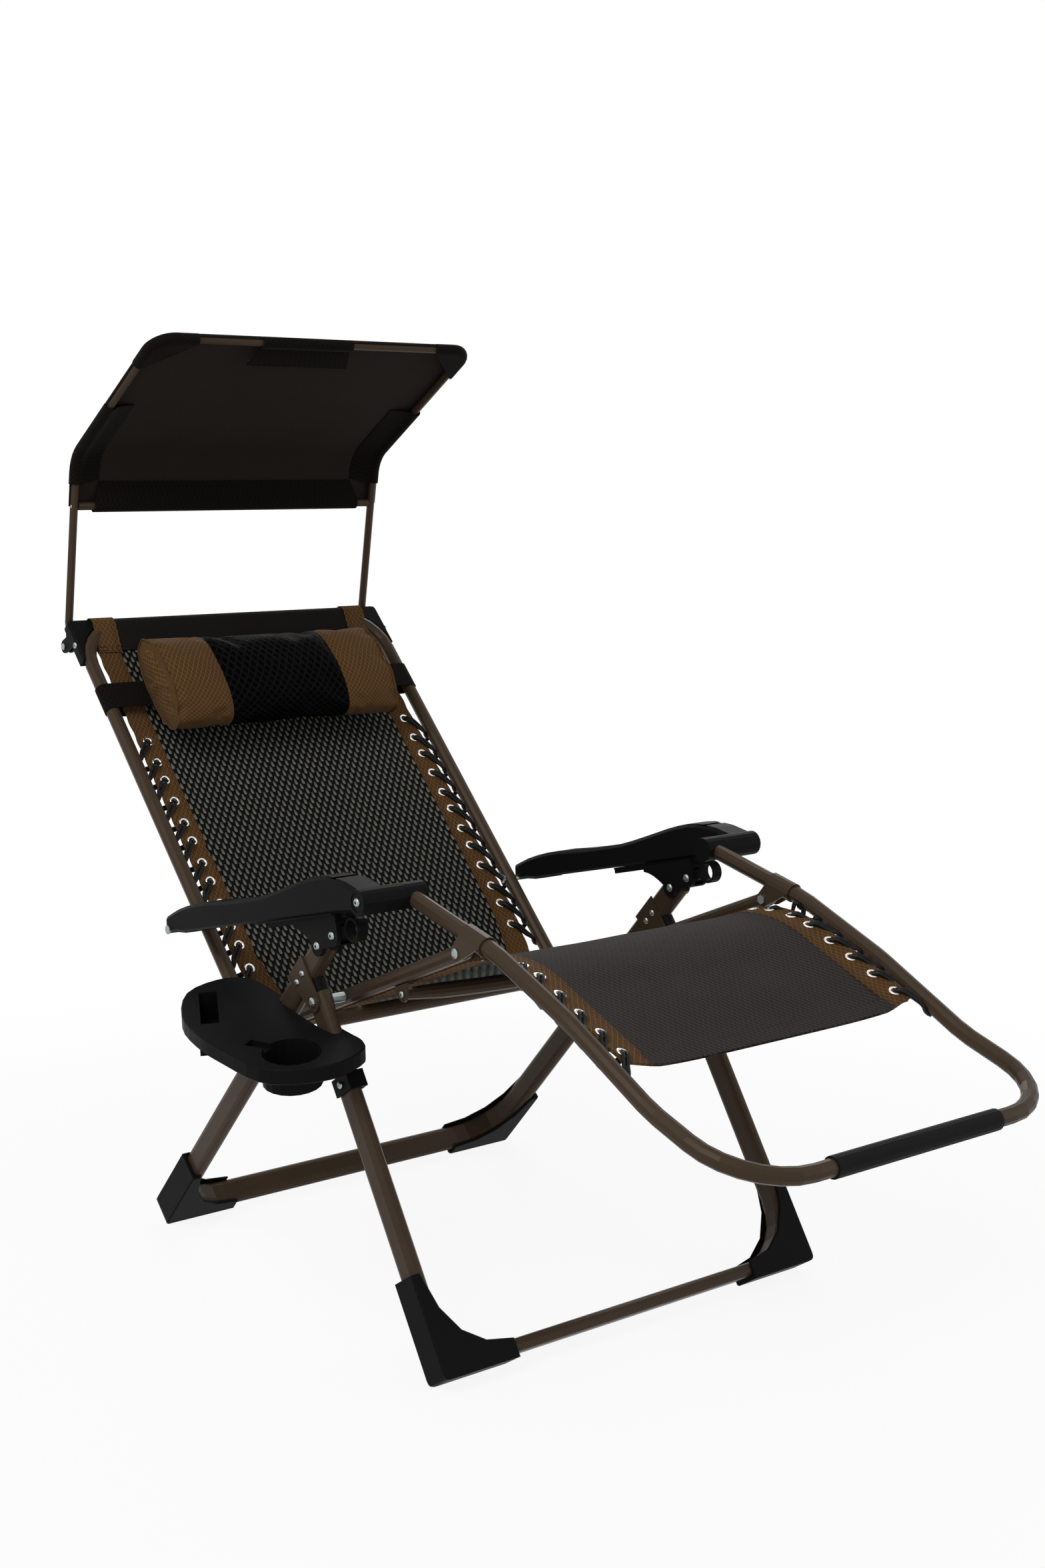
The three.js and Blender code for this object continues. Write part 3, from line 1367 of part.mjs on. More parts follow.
const backLine = worldOf(backFrame, 0, -slingBackOffset);
const seatLine = worldOf(railFrame, 0, -slingSeatOffset);
const legLine = worldOf(legRestFrame, -legSheetY, -legSheetDrop);
const hipCorner = meet(backLine, backSlope, seatLine, -railSlope);
const kneeCorner = meet(seatLine, -railSlope, legLine, legSheetSlope);
const slingStart = worldOf(backFrame, slingTop, -slingBackOffset);
const hemRun = (hemY - legSheetY) * Math.tan(radians(legSheetSlope));
const slingHem = worldOf(legRestFrame, -hemY, -legSheetDrop - hemRun);

function slingLine() {
  const corners = [slingStart, hipCorner, kneeCorner, slingHem].map((point) => vec(0, point.x, point.y));
  return bentPath(corners, [hipRadius, kneeRadius], 8);
}

// Extra stations along the straight runs, so that the sag shows
function fineStations(path, spacing) {
  const upward = path.tangents[0].clone().negate();
  const tops = slingTopShares.map(([reach]) => upward.clone().multiplyScalar(reach * slingTopReach));
  const points = [...tops.map((shift) => shift.add(path.points[0])), path.points[0]];
  const tangents = points.map(() => path.tangents[0]);
  for (let i = 1; i < path.points.length; i += 1) {
    const run = path.points[i].clone().sub(path.points[i - 1]);
    const steps = Math.max(1, Math.round(run.length() / spacing));
    for (let k = 1; k <= steps; k += 1) {
      points.push(path.points[i - 1].clone().addScaledVector(run, k / steps));
      tangents.push(path.tangents[i - 1].clone().lerp(path.tangents[i], k / steps).normalize());
    }
  }
  return { points, tangents };
}

// Stations of the sling with their share along it, split at the hip and the knee
const slingFine = fineStations(slingLine(), slingStep);
const nearest = (target) => slingFine.points
  .map((point, i) => [Math.hypot(point.y - target.x, point.z - target.y), i])
  .sort((a, b) => a[0] - b[0])[0][1];
const hipStation = nearest(hipCorner);
const kneeStation = nearest(kneePivot);
const hemStation = slingFine.points.length - 1;

function slingSpan(i) {
  if (i < slingTopShares.length) {
    const [, wide, sagged] = slingTopShares[i];
    return { half: slingHalfTop * wide, sag: slingBackSag * sagged };
  }
  if (i <= hipStation) {
    const share = i / hipStation;
    return {
      half: slingHalfTop + (slingHalfHip - slingHalfTop) * share,
      sag: slingBackSag + (slingSeatSag - slingBackSag) * share ** 6,
    };
  }
  if (i <= kneeStation) {
    return { half: slingHalfHip, sag: slingSeatSag };
  }
  const share = (i - kneeStation) / (hemStation - kneeStation);
  return {
    half: slingHalfHip + (slingHalfHem - slingHalfHip) * share,
    sag: slingSeatSag + (slingLegSag - slingSeatSag) * Math.min(1, share * 2),
  };
}

// One closed sheet between two stations, trimmed back by a little play at each joint
function slingSheet(from, to, trimFrom, trimTo) {
  const rings = [];
  for (let i = from; i <= to; i += 1) {
    const tangent = slingFine.tangents[i];
    const { half, sag } = slingSpan(i);
    const trim = (i === from ? trimFrom : 0) - (i === to ? trimTo : 0);
    const base = slingFine.points[i].clone().addScaledVector(tangent, trim);
    const normal = vec(0, tangent.z, -tangent.y);
    const ring = [];
    for (const face of [1, -1]) {
      for (let k = 0; k <= slingAcross; k += 1) {
        const share = face * ((2 * k) / slingAcross - 1);
        const lift = (face * slingThickness) / 2 - sag * (1 - share * share);
        ring.push(base.clone().addScaledVector(normal, lift).setX(share * half));
      }
    }
    rings.push(ring);
  }
  return sheetSkin(rings);
}

// Skin over flat rings whose second half runs back under the first
function sheetSkin(rings) {
  const count = rings[0].length;
  const side1 = count / 2;
  const corners = [];
  const face = (a, b, c) => corners.push(...a.toArray(), ...b.toArray(), ...c.toArray());
  for (let i = 0; i < rings.length - 1; i += 1) {
    for (let k = 0; k < count; k += 1) {
      const next = (k + 1) % count;
      face(rings[i][k], rings[i][next], rings[i + 1][next]);
      face(rings[i][k], rings[i + 1][next], rings[i + 1][k]);
    }
  }
  const ends = [[rings[0], true], [rings[rings.length - 1], false]];
  for (const [ring, start] of ends) {
    for (let k = 0; k < side1 - 1; k += 1) {
      const quad = [ring[k], ring[k + 1], ring[count - 2 - k], ring[count - 1 - k]];
      if (start) quad.reverse();
      face(quad[0], quad[1], quad[2]);
      face(quad[0], quad[2], quad[3]);
    }
  }
  const geometry = new THREE.BufferGeometry();
  geometry.setAttribute('position', new THREE.Float32BufferAttribute(corners, 3));
  return outward(geometry);
}

// Turn a closed skin so that its faces point out
function outward(geometry) {
  const place = geometry.attributes.position;
  let volume = 0;
  const a = new THREE.Vector3();
  const b = new THREE.Vector3();
  const c = new THREE.Vector3();
  for (let i = 0; i < place.count; i += 3) {
    a.fromBufferAttribute(place, i);
    b.fromBufferAttribute(place, i + 1);
    c.fromBufferAttribute(place, i + 2);
    volume += a.dot(b.cross(c));
  }
  return volume < 0 ? mirrored(geometry.clone().scale(-1, 1, 1)) : geometry;
}

// Place on the sling at a side-view target, on its edge band
function slingPlace(target, inset) {
  let best = null;
  for (let i = 0; i < slingFine.points.length - 1; i += 1) {
    const start = slingFine.points[i];
    const run = slingFine.points[i + 1].clone().sub(start);
    const toTarget = vec(0, target.x - start.y, target.y - start.z);
    const share = THREE.MathUtils.clamp(toTarget.dot(run) / run.lengthSq(), 0, 1);
    const point = start.clone().addScaledVector(run, share);
    const gap = Math.hypot(point.y - target.x, point.z - target.y);
    if (!best || gap < best.gap) {
      const here = slingSpan(i);
      const there = slingSpan(i + 1);
      const half = here.half + (there.half - here.half) * share;
      const sag = here.sag + (there.sag - here.sag) * share;
      const tangent = slingFine.tangents[i].clone().lerp(slingFine.tangents[i + 1], share).normalize();
      best = { gap, point, half, sag, tangent };
    }
  }
  const normal = vec(0, best.tangent.z, -best.tangent.y);
  const x = best.half - inset;
  const place = best.point.clone().addScaledVector(normal, -best.sag * (1 - (x / best.half) ** 2)).setX(x);
  return { place, normal, tangent: best.tangent };
}

const toUnit = vec(0, 1, 0);

// Hole for the cord in the edge band
function grommetHole({ place, normal }) {
  const hole = new THREE.CylinderGeometry(grommetRadius, grommetRadius, slingThickness * 4, 5);
  hole.applyQuaternion(new THREE.Quaternion().setFromUnitVectors(toUnit, normal));
  return hole.translate(place.x, place.y, place.z);
}

const backGrommetPlaces = Array.from({ length: backGrommets }, (_, i) => {
  const along = backGrommetTop - i * backGrommetPitch;
  const eye = slingPlace(worldOf(backFrame, along, -slingBackOffset), grommetInset);
  return { ...eye, tube: backTubeAt(along) };
});

function backTubeAt(along) {
  const point = worldOf(backFrame, along, 0);
  return vec(backHalfSpan, point.x, point.y);
}

// Leg rest tube centre at a distance forward of the knee bolt
function legTubeAt(forward) {
  const line = legRestPath().points;
  const i = line.findIndex((point, k) => k > 0 && point.y <= -forward);
  const share = (line[i - 1].y + forward) / (line[i - 1].y - line[i].y);
  const centre = line[i - 1].clone().lerp(line[i], share);
  return centre.applyMatrix4(legRestFrame.matrix).setX(railHalfSpan);
}

const legGrommetPlaces = Array.from({ length: legGrommets }, (_, i) => {
  const forward = legGrommetRear + i * legGrommetPitch;
  const tube = legTubeAt(forward);
  return { ...slingPlace(side(tube.y, tube.z), grommetInset), tube };
});

// Points of the lacing: up through a grommet, out behind the tube's inner side, back under to the next
function lacingPoints(places) {
  const facet = radians(hookTurns[1][0] - hookTurns[0][0]) / 2;
  const reach = (frameTube / 2 + cordRadius + clearance) / Math.cos(facet);
  const rise = cordDip + slingThickness / 2;
  return places.flatMap((here, i) => {
    const last = i === places.length - 1;
    const [from, to] = last ? [places[i - 1], here] : [here, places[i + 1]];
    const advance = to.tube.clone().sub(from.tube);
    const along = advance.clone().normalize();
    const tubeUp = here.normal.clone().addScaledVector(along, -here.normal.dot(along)).normalize();
    const hooks = hookTurns.map(([turn, share]) => {
      const angle = radians(turn);
      const point = here.tube.clone().addScaledVector(advance, share);
      point.addScaledVector(tubeUp, reach * Math.sin(angle));
      return point.addScaledVector(xAxis, reach * Math.cos(angle));
    });
    const eye = [-rise, rise].map((lift) => here.place.clone().addScaledVector(here.normal, lift));
    const edge = here.place.clone().addScaledVector(advance, cordEdgeShare);
    edge.addScaledVector(here.normal, cordOverEdge).addScaledVector(xAxis, grommetInset + cordPastEdge);
    return [...eye, edge, ...hooks];
  });
}

function lacingCord(places) {
  const points = lacingPoints(places);
  const tangents = points.map((point, i) => {
    const before = points[Math.max(i - 1, 0)];
    const after = points[Math.min(i + 1, points.length - 1)];
    return after.clone().sub(before).normalize();
  });
  const path = new StationPath(points, tangents);
  const section = new THREE.Shape(Array.from({ length: cordSides }, (_, i) => {
    const angle = (Math.PI * 2 * i) / cordSides;
    return side(cordRadius * Math.cos(angle), cordRadius * Math.sin(angle));
  }));
  return { path, cord: sweep(path, section, 1) };
}

// Least gap of a cord to itself, between points that are not neighbours
function leastGap(path) {
  let least = Infinity;
  path.points.forEach((point, i) => {
    path.points.slice(i + hookTurns.length + 2).forEach((other) => {
      least = Math.min(least, point.distanceTo(other) - 2 * cordRadius);
    });
  });
  return least;
}

const backLacing = lacingCord(backGrommetPlaces);
const legLacing = lacingCord(legGrommetPlaces);
console.log(`least gap of the back lacing to itself: ${leastGap(backLacing.path).toFixed(1)} mm`);
console.log(`least gap of the leg rest lacing to itself: ${leastGap(legLacing.path).toFixed(1)} mm`);

// Lounger axes to the axes of a frame
const inFrame = (geometry, group) => geometry.clone().applyMatrix4(group.matrix.clone().invert());

addPair(backFrame, 'back_lacing', inFrame(backLacing.cord, backFrame), blackCord);
addPair(legRestFrame, 'leg_rest_lacing', inFrame(legLacing.cord, legRestFrame), blackCord);

function allHoles(places) {
  const holes = places.map(grommetHole);
  return [...holes, ...holes.map(mirrored)];
}

// Sleeve of the sling round the top bar
function topSleeve() {
  const inner = frameTube / 2 + clearance;
  const outer = inner + sleeveWall;
  const tube = rod(outer, -sleeveHalf, sleeveHalf, backLength, 0, 18);
  const room = bore(inner, -sleeveHalf - overrun, sleeveHalf + overrun, backLength, 0, 18);
  return { tube, room };
}

function backSling() {
  const sheet = slingSheet(0, hipStation, 0, hipPlay);
  const holes = allHoles(backGrommetPlaces).map((hole) => inFrame(hole, backFrame));
  const { tube, room } = topSleeve();
  return cut(join(inFrame(sheet, backFrame), tube), room, ...holes);
}
add(backFrame, 'back_sling', backSling(), meshFabric);
const seatSheet = slingSheet(hipStation, kneeStation, hipPlay, kneePlay);
add(railFrame, 'seat_sling', inFrame(seatSheet, railFrame), meshFabric);

function legRestSling() {
  const sheet = slingSheet(kneeStation, hemStation, kneePlay, 0);
  return inFrame(cut(sheet, ...allHoles(legGrommetPlaces)), legRestFrame);
}
add(legRestFrame, 'leg_rest_sling', legRestSling(), charcoalFabric);

// Pillow: a bolster with a crown and drawn-in ends
function pillow() {
  const rings = [];
  const base = frameTube / 2 + clearance + strapThickness + clearance;
  const centre = vec(0, pillowAlong, base + pillowHalfDepth);
  for (let i = 0; i <= pillowRings; i += 1) {
    const share = Math.sin((Math.PI / 2) * ((2 * i) / pillowRings - 1));
    const drawn = Math.sqrt(Math.max(0, 1 - Math.abs(share) ** pillowEndPower));
    const height = pillowHalfHeight * (pillowEndHeightShare + (1 - pillowEndHeightShare) * drawn);
    const depth = pillowHalfDepth * (pillowEndDepthShare + (1 - pillowEndDepthShare) * drawn);
    const place = centre.clone().setX(share * pillowHalfLength);
    rings.push(ringOf(place, vec(0, 1, 0), vec(0, 0, 1), height, depth, pillowSides, pillowRoundness));
  }
  return loft(rings);
}
add(backFrame, 'pillow', pillow(), brownFabric);

// Strap that loops round both back tubes, seen along the back frame
function strapLoop(grow, ends) {
  const radius = frameTube / 2 + clearance + grow;
  const points = [side(strapDipHalf, -strapDip - grow)];
  for (let k = 0; k <= 8; k += 1) {
    const angle = radians(strapTurn) * (k / 8) - radians(strapTurnUnder);
    points.push(side(backHalfSpan + radius * Math.cos(angle), radius * Math.sin(angle)));
  }
  const shape = new THREE.Shape([...points, ...points.map((point) => side(-point.x, point.y)).reverse()]);
  const geometry = alongZ(shape, -ends, strapWidth + ends);
  geometry.applyMatrix4(new THREE.Matrix4().makeBasis(xAxis, vec(0, 0, 1), vec(0, -1, 0)));
  return geometry.translate(0, strapAlong + strapWidth / 2, 0);
}

function pillowStrap() {
  return cut(strapLoop(strapThickness, 0), strapLoop(0, overrun));
}
add(backFrame, 'pillow_strap', pillowStrap(), blackCord);

// Stand the lounger on the floor with its middle over the origin
const wholeBox = new THREE.Box3().setFromObject(lounger, true);
lounger.position.set(
  -(wholeBox.min.x + wholeBox.max.x) / 2, -(wholeBox.min.y + wholeBox.max.y) / 2, -wholeBox.min.z,
);

export default lounger;
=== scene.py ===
import json
import math

import bpy
import bmesh
from mathutils import Matrix, Vector, noise

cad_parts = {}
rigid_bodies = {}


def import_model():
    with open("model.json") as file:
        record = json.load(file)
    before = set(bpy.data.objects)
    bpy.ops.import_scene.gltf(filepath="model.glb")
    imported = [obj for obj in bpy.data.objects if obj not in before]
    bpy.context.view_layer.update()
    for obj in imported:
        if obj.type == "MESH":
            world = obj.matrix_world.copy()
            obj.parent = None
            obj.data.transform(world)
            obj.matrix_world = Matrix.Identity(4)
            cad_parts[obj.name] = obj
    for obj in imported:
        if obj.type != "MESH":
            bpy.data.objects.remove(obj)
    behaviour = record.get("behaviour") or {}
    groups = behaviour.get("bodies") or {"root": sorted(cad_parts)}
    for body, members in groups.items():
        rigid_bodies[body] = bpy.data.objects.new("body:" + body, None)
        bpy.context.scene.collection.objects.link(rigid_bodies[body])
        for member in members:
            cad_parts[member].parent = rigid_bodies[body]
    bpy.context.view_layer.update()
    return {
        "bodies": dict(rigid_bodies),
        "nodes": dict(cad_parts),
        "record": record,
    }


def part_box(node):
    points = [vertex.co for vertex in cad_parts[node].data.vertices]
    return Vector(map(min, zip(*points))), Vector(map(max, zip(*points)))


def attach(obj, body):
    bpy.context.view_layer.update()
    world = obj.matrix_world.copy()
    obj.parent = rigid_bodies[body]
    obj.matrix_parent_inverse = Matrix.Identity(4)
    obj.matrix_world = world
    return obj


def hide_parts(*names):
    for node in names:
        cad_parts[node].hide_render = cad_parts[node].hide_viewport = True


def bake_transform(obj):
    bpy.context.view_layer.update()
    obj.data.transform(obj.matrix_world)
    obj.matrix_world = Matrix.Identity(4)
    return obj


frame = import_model()

# Unit of all the lengths below
MM = 0.001

# Members in the side view: y and z of the main pivot, slopes in degrees
MAIN_PIVOT = (-325.0, 446.0)
CROSS_TUBE = (-335.0, 421.0)
RAIL_SLOPE = -23.05
BACK_SLOPE = 45.0
RAIL_TO_REAR = 252.8
RAIL_TO_FRONT = -286.8
FRAME_TUBE = 11.0
BACK_HALF = 284.5
RAIL_HALF = 266.0
BACK_LENGTH = 775.0
RUN_STEP = 4.0
ARC_STEP = 3.0

# Signs of x on the two sides
SIDES = ((1, "left"), (-1, "right"))

# Sling
BACK_OFFSET = -4.0
SEAT_OFFSET = -9.0
LEG_LINE_SLOPE = 20.9
LEG_LINE_POINT = (-155.4, -28.4)
HEM_Y = -295.0
SLING_TOP = 728.0
SLING_STEP = 7.0
SLING_COLUMNS = 30
BAND_COLUMNS = 8
HIP_RADIUS = 70.0
KNEE_RADIUS = 215.0
HALF_BACK = 262.0
HALF_HIP = 249.0
HALF_HEM = 246.0
HIP_NARROWS = 150.0
BACK_SAG = 10.0
BACK_SAG_POWER = 6
TOP_SAG_SHARE = 0.35
TOP_SAG_REACH = 160.0
SEAT_SAG = 3.4
LEG_SAG = 11.0
SAG_POWERS = (2, 5.0)
HEM_SAG = 0.5
HEM_WAVE = 7.0
HEM_WAVE_REACH = 110.0
HEM_WAVE_ACROSS = 150.0
HEM_CORNER = 9.0
HEM_CORNER_INSIDE = 20.0
HEM_CORNER_WIDTH = 60.0
HEM_CORNER_REACH = 90.0
HEM_DEPTH = 22.0
HEM_OVER = 0.5
RIPPLE_REACH = (60.0, 90.0)
BACK_RIPPLE = 1.2
LEG_RIPPLE = 0.8
EYELET_PULL_SHARE = 0.35
EYELET_PULL_FROM = 200.0
EYELET_PULL_WIDTH = 50.0
BAND_SCALLOP = 0.9
CLOTH_HALF = 1.1
BAND_HALF = 1.7
LEG_BAND_HALF = BAND_HALF + 0.2
HEM_HALF = BAND_HALF + 0.4
BAND_INNER_BACK = 224.0
BAND_INNER_LEG = 206.0
BAND_LAP = 3.0
SEAT_SEAM_Y = -505.0
SEAM_LAP = 4.0

# Lacing
CORD_RADIUS = 2.5
STRAND_HALF_GAP = 2.6
CORD_DIP = 6.0
CORD_RISE = 4.2
CORD_OUT_OF_HOLE = 2.2
CORD_PAST_EDGE = 2.5
CORD_OVER_BAND = 0.6
CORD_OFF_TUBE = 0.4
CORD_EDGE_SHARE = 0.58
CORD_HOOKS = ((190, 0.84), (222, 0.92), (255, 0.96))
BACK_GROMMET_X = 245.5
LEG_GROMMET_X = 233.0
GROMMET_OUTER = 8.6
GROMMET_HOLE = 4.7
GROMMET_ROLL = 1.25
GROMMET_OVER_BAND = 0.2
GROMMET_LIP = 0.4
GROMMET_UNDER = 1.0
GROMMET_FOOT = ((0.9, 0.9), (0.93, 0.2))
ROLL_STEPS = 6
BACK_GROMMET_TOP = 538.0
GROMMET_PITCH = 39.4
BACK_GROMMETS = 12
LEG_GROMMET_REAR = 75.0
LEG_GROMMET_PITCH = 38.9
LEG_GROMMETS = 6
KNEE_GROMMET_PAST = 2.0

# Plated heads: outline as shares of the radius with heights, then node, body, radius, nuts' node
HEAD_TOP = 0.3
HEAD_APART = 8.0
HEAD_PROUD = 1.6
HEAD_PROFILE = ((0.3, -0.9), (0.36, 0.2), (0.62, 0.1), (0.88, -0.7), (1.0, -1.7), (1.02, -2.7))
HEADS = (
    ("outer_leg_plate", "rear_frame", 5.0, "inner_leg_plate"),
    ("lock_housing", "lock", 6.2, "lock_housing"),
    ("corner_cap", "backrest", 5.0, ""),
    ("armrest", "armrests", 5.8, ""),
    ("rail_tab", "seat", 5.0, ""),
)
POST_HEAD = 3.6
HOOK_HEAD = 5.0
RAY_START = 1000.0
TURN_STEPS = 20

# Leg rest tube, y and z from the knee bolts
LEG_TUBE_LINE = ((0.0, 25.82), (-66.0, 11.2), (-211.4, -44.9), (-356.4, -114.9))

# Cloth over the top bar
PANEL_HALF = 229.0
PANEL_COLUMNS = 40
PANEL_RADIUS = 13.0
PANEL_LOW = SLING_TOP - 2.0
PANEL_FRONT = 52.0
PANEL_SWELL = 1.3
PANEL_FOLD = 1.4
PANEL_FOLD_FROM = 120.0
PANEL_FOLD_WIDTH = 90.0
PANEL_FOLD_WAVES = (0.09, 0.12)
TOP_STRAP = (221.0, 261.0)
TOP_STRAP_RADIUS = 15.3
TOP_STRAP_LOW = SLING_TOP - 5.0
LOOP_OFF_SLING = 1.2
LOOP_RISE = 3.2
LOOP_TILT_SHARE = 0.5
LOOP_PAST = 1.2
LOOP_ROWS = (4, 14, 3)
TRIM_HALF = 0.6
STITCH = 3.4
STITCH_GAP = 1.6
STITCH_RADIUS = 0.4
STITCH_LIFT = 0.25
STITCH_CROWN = 0.35
STITCH_RISE = 3.6
STITCH_SLOPE = 0.32
STITCH_MARGIN = 2.0
STITCH_STEPS = 60
STITCH_ROWS = (("lower", 2.5), ("upper", 8.5))

# Pillow
PILLOW_ALONG = 611.0
PILLOW_HALF_HEIGHT = 86.0
PILLOW_HALF_DEPTH = 35.0
PILLOW_HALF_LENGTH = 206.0
PILLOW_CENTRE = -9.0
PILLOW_REACH = 7.0
PILLOW_PRESSURE = 4.0
PILLOW_SLACK = 0.03
SIM_FRAMES = 20
PILLOW_RINGS = 84
PILLOW_SIDES = 72
PILLOW_CAPS = 7
PIPING_RADIUS = 1.5
SEAM_DEPTH = 2.2
SEAM_WIDTH = 3.5
PILLOW_MESH_HALF = 107.0
PILLOW_BASE = 13.4
PILLOW_TOUCH = 2.0
PILLOW_SINK = 0.3
PILLOW_ROUNDNESS = 2.25
PILLOW_END_POWER = 22
PILLOW_END_HEIGHT = 0.985
PILLOW_END_DEPTH = 0.98
PILLOW_END_SWELL = 6.0
PILLOW_END_CREASE = 1.6
PILLOW_END_REACH = (32.0, 26.0)
PINCH_ANGLE = 150.0
PINCH_WIDTH = 0.32
PINCH = 8.5
PINCH_POWER = 1.3
PUCKER = 1.1
PUCKERS = 11
PUCKER_SHIFT = 2.2
END_FROM = 0.72
END_WIDTH = 0.28
SWELL_ALONG = 0.9
SWELL_ABOVE = (0.3, 0.7)
UNEVEN = 1.8
FINE_UNEVEN = 0.4
UNEVEN_REACH = (85.0, 60.0)
FINE_UNEVEN_REACH = (34.0, 26.0)
GIRTH_SHARE = 0.72
PILLOW_GIRTH = 2 * math.pi * (PILLOW_HALF_HEIGHT + PILLOW_HALF_DEPTH) * GIRTH_SHARE * MM

# Pillow strap
STRAP_ALONG = 624.0
STRAP_WIDTH = 48.0
STRAP_HALF = 0.7
STRAP_DIP = 18.6
STRAP_DIP_HALF = 232.0
STRAP_KNEE = (22.0, -14.0)
STRAP_OFF_TUBE = 0.3
STRAP_MIDDLE = 0.75
STRAP_SWELL = 0.9
STRAP_COLUMNS = 8
STRAP_TURN = (90, -165, 12)
STRAP_FRONTS = (-220, -150, -75, 0, 75, 150, 220)

# Canopy, y and z from the ears
EAR_ALONG = 776.0
EAR_BEHIND = -45.0
CANOPY_HALF = 284.5
SHOULDER = (-52.0, 307.0)
CANOPY_FRONT = (-333.0, 480.0)
CANOPY_BAR_RISE = 228.0
CANOPY_STEP = 9.0
CANOPY_COLUMNS = 44
CANOPY_ROWS = 34
SHOULDER_BEND = 60.0
CORNER_BEND = 32.0
RIM_STEP = 12.0
RIM_PITCH = (12, 2.4)
RIM_TURN = (0, 92, 7)
CORNER_STEPS = 8
COVER_RADIUS = 8.1
COVER_SLACK = 2.2
COVER_UNEVEN = 1.1
COVER_REACH = (110.0, 120.0)
FLAP_RADIUS = 9.3
FLAP_CLEAR = 1.8
FLAP_PITCH = (10, 3.2)
FLAP_TURN = (70, 170, 9)
FLAP_INWARD = 60.0
FLAP_LOW_SHARE = 0.5
FLAP_SHARES = (0.25, 0.5, 0.75, 1.0)
FLAP_CURL = 0.8
REAR_FLAP_HALF = 251.0
REAR_FLAP_RISE = 34.0
REAR_FLAP_TAPER = 11.0
REAR_FLAP_DROP_SHARE = 0.77
REAR_FLAP_PITCH = (12, 4)
REAR_FLAP_TURN = (20, 200, 8)
REAR_FLAP_INWARD = 40.0
REAR_FLAP_SHARES = (0.2, 0.4, 0.6, 0.8, 1.0)
REAR_FLAP_COLUMNS = 40
FRONT_FLAP = (-106.0, 56.0)
FRONT_FLAP_COLUMNS = 16
FRONT_FLAP_REACH = 44.0
FRONT_FLAP_SLANT = -10.0
FRONT_FLAP_DROOP = 19.0
SIDE_FLAP = (36.0, 226.0)
SIDE_FLAP_COLUMNS = 20
SIDE_FLAP_REACH = 46.0
SIDE_FLAP_SLANT = 6.0
POCKET = 80.0
POCKET_PITCH = (10, 5)
POCKET_TURN = (60, 120, 8)
POCKET_ROWS = 4

# Camera, from the photograph
CAMERA_PLACE = (-1735.19, -2611.53, 1168.72)
CAMERA_TURN = -37.653
CAMERA_PITCH = 9.0266
CAMERA_ROLL = 0.16996
CAMERA_LENS = 46.94
SENSOR_WIDTH = 36

# Floor and light, distances in metres: each lamp's name, place, target, size and power
VIEW_REACH = 100
WORLD_LIGHT = 0.45
WORLD_COLOUR = (0.95, 0.96, 1.0, 1)
FLOOR_COLOUR = (0.9, 0.9, 0.9, 1)
FLOOR_REACH = 30.0
SHADOW_NEAR = 0.9
SHADOW_FAR = 1.9
SHADOW_SHARE = 0.9
MIDDLE = (0.05, 0.05, 0.6)
LAMPS = (
    ("key", (-2.4, -0.6, 3.2), MIDDLE, (2.0, 1.6), 52),
    ("fill", (2.8, -2.8, 1.6), MIDDLE, (2.4, 2.0), 16),
    ("rim", (2.0, 2.6, 2.6), MIDDLE, (2.4, 1.6), 34),
    ("low", (-1.6, -3.4, 0.9), (0, 0, 0.8), (2.0, 1.0), 10),
)

# Cloth patterns: spacing across and along, lines as shares of it, and the sewn rows
RIPSTOP_CELL = (8.2, 11.7)
RIPSTOP_LINE = 0.085
MESH_CELL = (13.4, 20.0)
MESH_LINE = 0.2
THREAD_PITCH = 0.55
SEWN_PITCH = 4.6
SEWN_THREAD = (0.7, 0.3)

# Moulded edges, and the angles in degrees above which an edge stays sharp
EDGE_RADIUS = 0.8
EDGE_ANGLE = 35
SHARP_CAD = 34
SHARP_HEAD = 40
SHARP_CLOTH = 50


# Places

def middle_of(node):
    low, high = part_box(node)
    return (low + high) / 2


ORIGIN = middle_of("leg_cross_tube") - Vector((0, *CROSS_TUBE)) * MM


def place(x, y, z):
    """Design axes in millimetres to the frame in metres."""
    return ORIGIN + Vector((x, y, z)) * MM


def side_vector(flat):
    """A direction of the side view in space."""
    return Vector((0, flat.x, flat.y))


def direction(degrees):
    return Vector((math.cos(math.radians(degrees)), math.sin(math.radians(degrees))))


class Member:
    """A line in the side view: along it and above it."""

    def __init__(self, origin, degrees):
        self.origin = Vector(origin)
        self.along = direction(degrees)
        self.above = Vector((-self.along.y, self.along.x))

    def at(self, along, above=0.0):
        return self.origin + self.along * along + self.above * above


rails = Member(MAIN_PIVOT, RAIL_SLOPE)
back = Member(rails.at(RAIL_TO_REAR), BACK_SLOPE)
leg_rest = Member(rails.at(RAIL_TO_FRONT), 0.0)
canopy = Member(back.at(EAR_ALONG, EAR_BEHIND), 0.0)


def meet(point_a, slope_a, point_b, slope_b):
    a, b = direction(slope_a), direction(slope_b)
    gap = point_b - point_a
    run = (gap.x * b.y - gap.y * b.x) / (a.x * b.y - a.y * b.x)
    return point_a + a * run


def rounded_line(corners, radii, spacing):
    """Evenly spaced stations (point, tangent, run) along straight runs with rounded corners."""
    dense = []
    start = corners[0]
    for i, radius in enumerate(radii):
        corner, after = corners[i + 1], corners[i + 2]
        into, out = (corner - corners[i]).normalized(), (after - corner).normalized()
        turn = into.angle(out)
        inward = (out - into * into.dot(out)).normalized()
        enter = corner - into * radius * math.tan(turn / 2)
        centre = enter + inward * radius
        add_run(dense, start, enter)
        steps = max(4, int(radius * turn / ARC_STEP))
        for k in range(steps + 1):
            angle = turn * k / steps
            dense.append(centre - inward * radius * math.cos(angle) + into * radius * math.sin(angle))
        start = dense[-1]
    add_run(dense, start, corners[-1])
    return even(dense, spacing)


